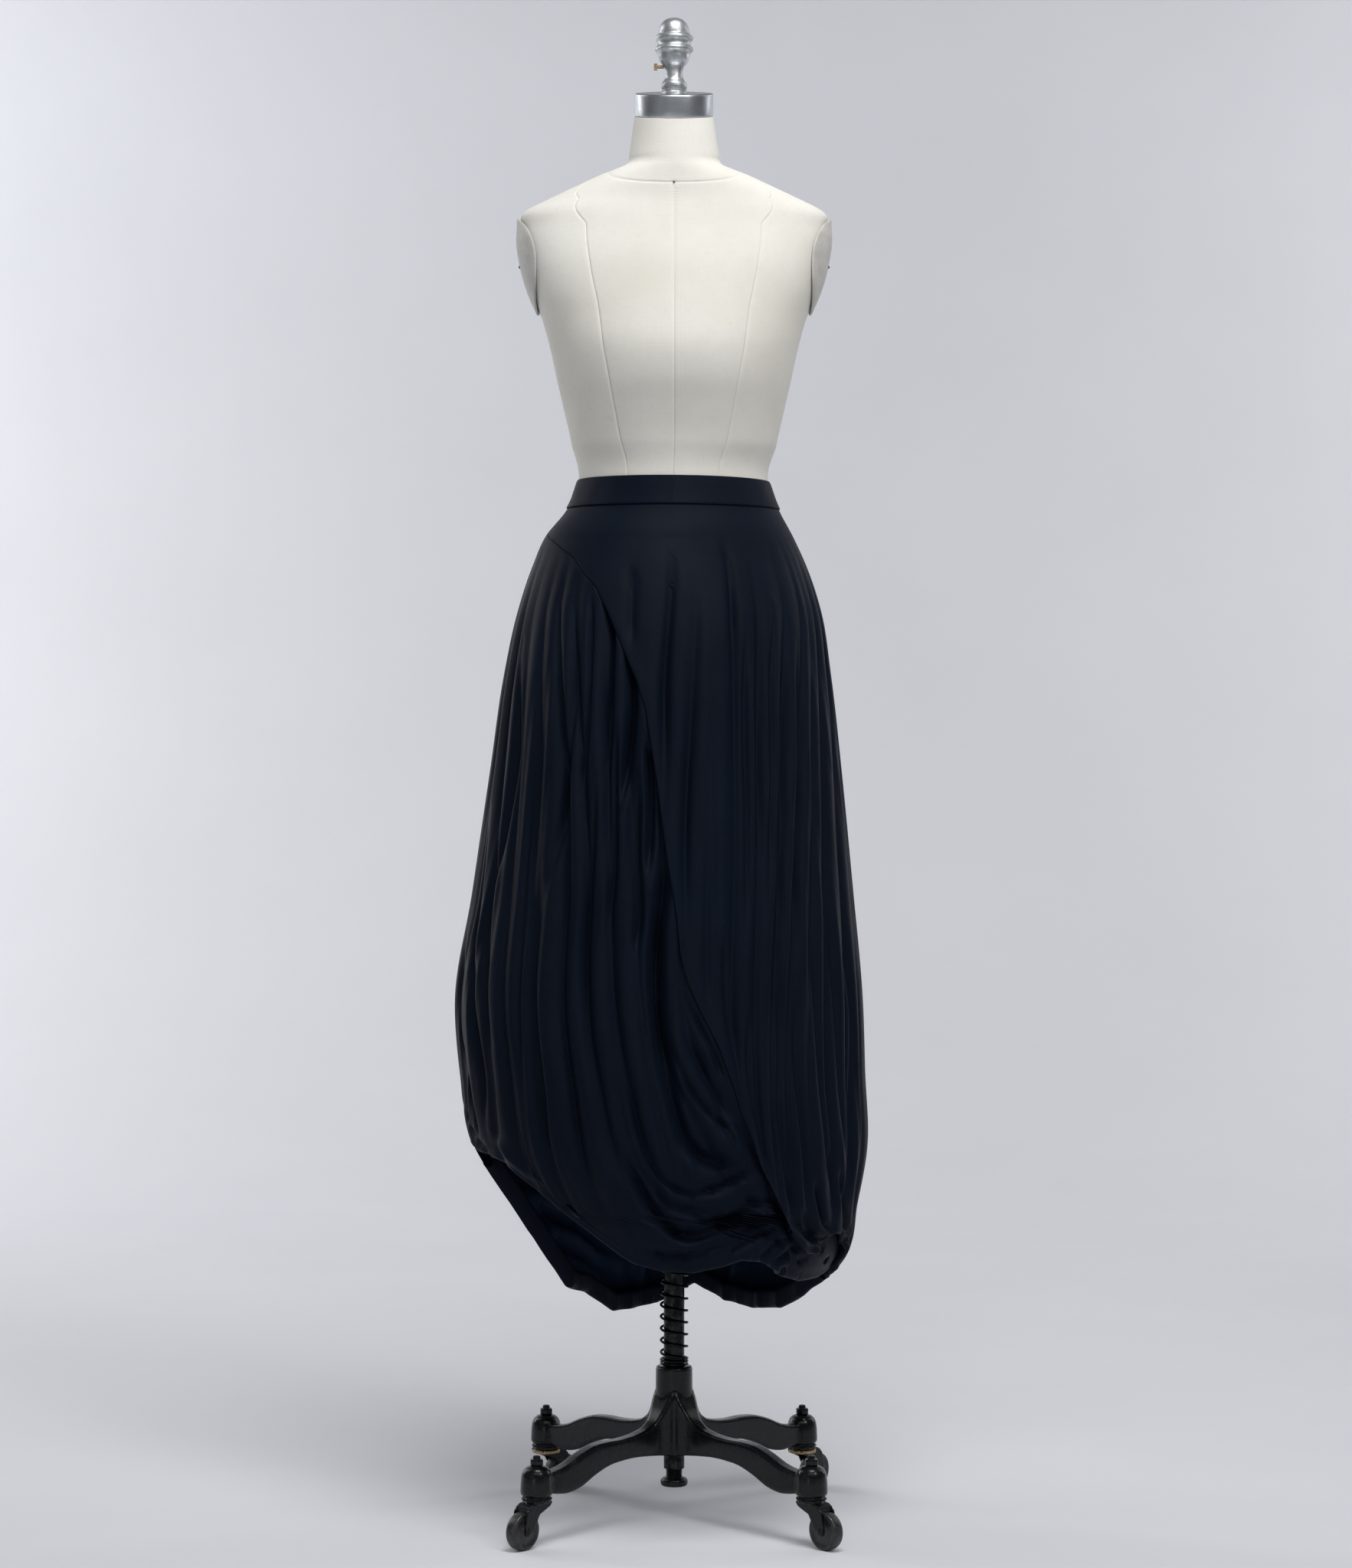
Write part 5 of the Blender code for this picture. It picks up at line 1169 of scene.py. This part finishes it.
def build_neck(aluminium, zinc, steel):
    """The tilted cap, the ferrule on it, the finial and the pin in the neck's seam."""
    half = CAP_THICK / 2
    side = CAP_RADIUS
    cap = turned_mesh("cap", (
        (0.0, half), (side - 0.012, half), (side - 0.0022, half - 0.0001), (side - 0.0009, half - 0.0004),
        (side - 0.0002, half - 0.0012), (side, half - 0.0024), (side, 0.004), (side, -0.004),
        (side, -half + 0.0016), (side - 0.0004, -half + 0.0004), (side - 0.0014, -half), (0.0, -half)), 128)
    cap.transform(Matrix.Translation((POST_X, POST_Y, CAP_CENTRE)) @ Matrix.Rotation(CAP_TILT, 4, "X"))
    add_piece("fine_neck_cap", cap, aluminium, "form", ("neck_cap",))
    add_piece("ferrule", turned_mesh("ferrule", FERRULE_PROFILE, 64, 40, AXIS), zinc, "form")
    finial = turned_mesh("finial", FINIAL_PROFILE, 72, 130, AXIS)
    add_piece("fine_finial", finial, zinc, "form", ("finial",))
    pin = turned_mesh("pin", NECK_PIN, 14)
    front = torso_points(np.array([0.0]), np.array([NECK_SEAM - NECK_PIN_DROP]), np.array([0.0]))[0]
    pin.transform(Matrix.Translation(front) @ Matrix.Rotation(math.pi / 2, 4, "X"))
    add_piece("neck_pin", pin, steel, "form")


# Stand
def joined(name, meshes):
    """One mesh from several closed ones that overlap."""
    shape = bmesh.new()
    for mesh in meshes:
        shape.from_mesh(mesh)
    whole = bpy.data.meshes.new(name)
    shape.to_mesh(whole)
    shape.free()
    return whole


def melted(name, mesh, voxel, rounds):
    """A mesh fused into one skin and softened, as a casting is."""
    piece = bpy.data.objects.new(name, mesh)
    bpy.context.scene.collection.objects.link(piece)
    fuse = piece.modifiers.new("fuse", "REMESH")
    fuse.mode = "VOXEL"
    fuse.voxel_size = voxel
    soften = piece.modifiers.new("soften", "SMOOTH")
    soften.factor = 0.5
    soften.iterations = rounds
    bpy.context.view_layer.update()
    evaluated = piece.evaluated_get(bpy.context.evaluated_depsgraph_get())
    skin = bpy.data.meshes.new_from_object(evaluated)
    bpy.data.objects.remove(piece)
    skin.shade_smooth()
    return skin


def leg_mesh(direction):
    """One leg as a swept bar with a flat top, spreading into the hub at its root."""
    reach = np.linspace(*LEG_ENDS, 90)
    top = table_curve(LEG_TOP, 1, reach)
    bottom = table_curve(LEG_BOTTOM, 1, reach)
    half_width = LEG_WIDTH / 2 + LEG_SPREAD * (1.0 - above(reach, LEG_ROOT)) ** 2
    turn = np.linspace(0.0, math.tau, 40, endpoint=False)
    across = np.sign(np.cos(turn)) * np.abs(np.cos(turn)) ** LEG_ROUNDING
    up = np.sign(np.sin(turn)) * np.abs(np.sin(turn)) ** LEG_ROUNDING
    side_x, side_y = math.cos(direction), math.sin(direction)
    rings = []
    for s, high, low, half in zip(reach, top, bottom, half_width):
        offset = half * across
        x = POST_X + s * side_x - offset * side_y
        y = POST_Y + s * side_y + offset * side_x
        rings.append(np.stack([x, y, (high + low) / 2 + (high - low) / 2 * up], axis=-1))
    return grid_mesh("leg", np.array(rings), True, True)


def caster_place(name):
    """A caster's swivel axis, from above."""
    return JOINTS["caster_swivel_" + name]["pos_m"][:2]


def build_stand(enamel, steel, wheel, brass):
    """The cast hub and legs in one skin, then the casters, the post and its spring."""
    parts = [turned_mesh("hub", HUB_PROFILE, 64, 0, AXIS)]
    for name in CASTER_NAMES:
        x, y = caster_place(name)
        parts.append(leg_mesh(math.atan2(y - POST_Y, x - POST_X)))
        parts.append(turned_mesh("boss", BOSS_PROFILE, 48, 60, (x, y, 0.0)))
    casting = melted("casting", joined("casting", parts), *STAND_CAST)
    nodes = ["hub"] + ["leg_" + name for name in CASTER_NAMES]
    add_piece("fine_stand", casting, enamel, "base", nodes)
    for name in CASTER_NAMES:
        build_nut(name, enamel)
        build_caster(name, enamel, steel, wheel, brass)
    post = turned_mesh("post", POST_PROFILE, 64, 0, AXIS)
    add_piece("fine_post", post, steel, "post", ("post",))
    collar = turned_mesh("collar", COLLAR_PROFILE, 64, 0, AXIS)
    add_piece("fine_post_collar", collar, steel, "post", ("post_collar",))
    tail = turned_mesh("tail", tail_profile(), 48, 0, AXIS)
    add_piece("fine_post_tail", tail, enamel, "post", ("post_tail",))
    build_spring(steel)


def tail_profile():
    """The threaded end of the post and its flanged foot."""
    top, length, radius = THREAD
    profile = [(0.0, 0.0600), (0.0094, 0.0600)]
    for k in range(28):
        profile.append((radius + THREAD_DEPTH * math.cos(math.tau * k / 4.5), top - length * k / 27))
    return profile + list(TAIL_FOOT)


def build_nut(name, enamel):
    """A worn six-sided nut with the end of its stud."""
    turn = np.linspace(0.0, math.tau, 60, endpoint=False)
    sector = np.mod(turn + 0.4, math.pi / 3) - math.pi / 6
    hexagon = np.minimum(NUT_FLAT / np.cos(sector), NUT_CORNER)
    rings = []
    for height, size in NUT_PROFILE:
        radius = size * (hexagon if height < NUT_TOP else STUD_RADIUS)
        rings.append(ring(caster_place(name), radius, turn, height))
    mesh = grid_mesh("nut", np.array(rings[::-1]), True, True)
    add_piece("fine_nut_" + name, mesh, enamel, "base", ("nut_" + name,))


def build_caster(name, enamel, steel, wheel, brass):
    """A cast fork with its washers, and a wheel with a rounded tread and a domed hub."""
    body = "fork_" + name
    skin = melted("fork", frame["nodes"][body].data.copy(), *FORK_CAST)
    add_piece("fine_" + body, skin, enamel, body, (body,))
    place = caster_place(name)
    turn = np.linspace(0.0, math.tau, TEETH * 4, endpoint=False)
    bite = TOOTH * np.sign(np.sin(TEETH * turn))
    rings = [ring(place, radius + bite * cut, turn, height) for radius, height, cut in TOOTHED_PROFILE]
    ring_name = "toothed_ring_" + name
    add_piece(ring_name, grid_mesh(ring_name, np.array(rings), True, True), steel, body)
    if name.startswith("back"):
        band = turned_mesh("band", BRASS_PROFILE, 48, 0, (*place, 0.0))
        add_piece("ring_" + name, band, brass, body)
    joint = JOINTS["wheel_roll_" + name]
    roll = turned_mesh("wheel", WHEEL_PROFILE, 72)
    facing = Vector(joint["axis"]).to_track_quat("Z", "Y").to_matrix().to_4x4()
    roll.transform(Matrix.Translation(joint["pos_m"]) @ facing)
    add_piece("fine_wheel_" + name, roll, wheel, "wheel_" + name, ("wheel_" + name,))


def build_spring(steel):
    """The coil spring round the post, built at rest as one fixed mesh."""
    low, high = SPRING_ENDS
    closed = 2 * COIL_CLOSED
    turns = 4 + (high - low - 2 * closed) / COIL_PITCH
    path = np.linspace(0.0, turns, int(turns * 30))
    climb = (0.0, closed, high - low - closed, high - low)
    height = low + np.interp(path, (0.0, 2.0, turns - 2.0, turns), climb)
    turn = -math.tau * path
    centre = ring((0.0, 0.0), COIL_RADIUS, turn, height)
    along = np.gradient(centre, axis=0)
    along /= np.linalg.norm(along, axis=1, keepdims=True)
    outward = np.stack([np.cos(turn), np.sin(turn), np.zeros_like(turn)], axis=-1)
    beside = np.cross(along, outward)
    around = np.linspace(0.0, math.tau, 12, endpoint=False)[:, None, None]
    rings = centre + COIL_WIRE * (np.cos(around) * outward + np.sin(around) * beside)
    points = np.swapaxes(rings, 0, 1) + np.array(AXIS)
    mesh = grid_mesh("spring", points, True, True)
    mesh.materials.append(steel)
    spring = bpy.data.objects.new("fine_spring", mesh)
    bpy.context.scene.collection.objects.link(spring)
    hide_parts("spring")
    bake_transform(spring)


# Stage, lights and camera
def build_stage(material):
    """A seamless backdrop: floor, a wide cove and a wall."""
    profile = [(STAGE_FRONT, 0.0)]
    for k in range(25):
        turn = math.pi / 2 * k / 24
        profile.append((STAGE_BACK - STAGE_COVE + STAGE_COVE * math.sin(turn),
                        STAGE_COVE - STAGE_COVE * math.cos(turn)))
    profile.append((STAGE_BACK, STAGE_TOP))
    across = np.linspace(-STAGE_HALF_WIDTH, STAGE_HALF_WIDTH, 9)
    points = np.array([[(x, y, z) for x in across] for y, z in profile])
    stage = bpy.data.objects.new("backdrop", grid_mesh("backdrop", points))
    stage.data.materials.append(material)
    bpy.context.scene.collection.objects.link(stage)


def build_lights():
    """A dim even world and the area lights."""
    world = bpy.data.worlds.new("studio")
    world.use_nodes = True
    background = world.node_tree.nodes["Background"]
    background.inputs["Color"].default_value = WORLD_COLOUR
    background.inputs["Strength"].default_value = WORLD_STRENGTH
    bpy.context.scene.world = world
    for name, place, target, size, power in LIGHTS:
        light = bpy.data.lights.new(name, "AREA")
        light.shape = "RECTANGLE"
        light.size, light.size_y = size
        light.energy = power
        lamp = bpy.data.objects.new(name, light)
        lamp.location = place
        lamp.rotation_euler = (Vector(target) - Vector(place)).to_track_quat("-Z", "Y").to_euler()
        bpy.context.scene.collection.objects.link(lamp)


def build_camera():
    """The photograph's camera: level with the hips, a little turned down."""
    data = bpy.data.cameras.new("camera")
    data.sensor_width = SENSOR
    data.lens = FOCAL_PIXELS * SENSOR / PHOTO_SIZE[1]
    camera = bpy.data.objects.new("camera", data)
    across = (PHOTO_SIZE[0] / 2 - AXIS_PIXEL) / FOCAL_PIXELS * CAMERA_DISTANCE
    pitch = math.atan((PHOTO_SIZE[1] / 2 - HORIZON_PIXEL) / FOCAL_PIXELS)
    camera.location = (POST_X + across, POST_Y - CAMERA_DISTANCE, CAMERA_HEIGHT)
    camera.rotation_euler = (math.pi / 2 - pitch, 0.0, 0.0)
    bpy.context.scene.collection.objects.link(camera)
    bpy.context.scene.camera = camera


def dress_solids(materials):
    """The carried-over solids take their finish by their material slot."""
    slots = {row["node"]: row["material_slot"] for row in frame["record"]["subparts"]}
    for name, node in frame["nodes"].items():
        node.data.materials.clear()
        node.data.materials.append(materials[slots[name]])


materials = {
    "jersey": jersey_material("jersey"), "canvas": canvas_material(), "plate": plate_material(),
    "aluminium": brushed_material(), "zinc": zinc_material(), "brass": brass_material(),
    "enamel": enamel_material(), "steel": steel_material(), "wheel": wheel_material(),
}
bpy.context.scene.view_settings.view_transform = "Standard"
dress_solids(materials)
# the skirt's inner faces take a jersey copy 4.2 times paler: painted light on their shaded side
build_skirt(materials["jersey"], jersey_material("jersey_reverse", 4.2))
build_torso(materials["canvas"])
build_arm_plates(materials["plate"], materials["steel"])
build_neck(materials["aluminium"], materials["zinc"], materials["steel"])
build_stand(materials["enamel"], materials["steel"], materials["wheel"], materials["brass"])
build_stage(backdrop_material())
build_lights()
build_camera()
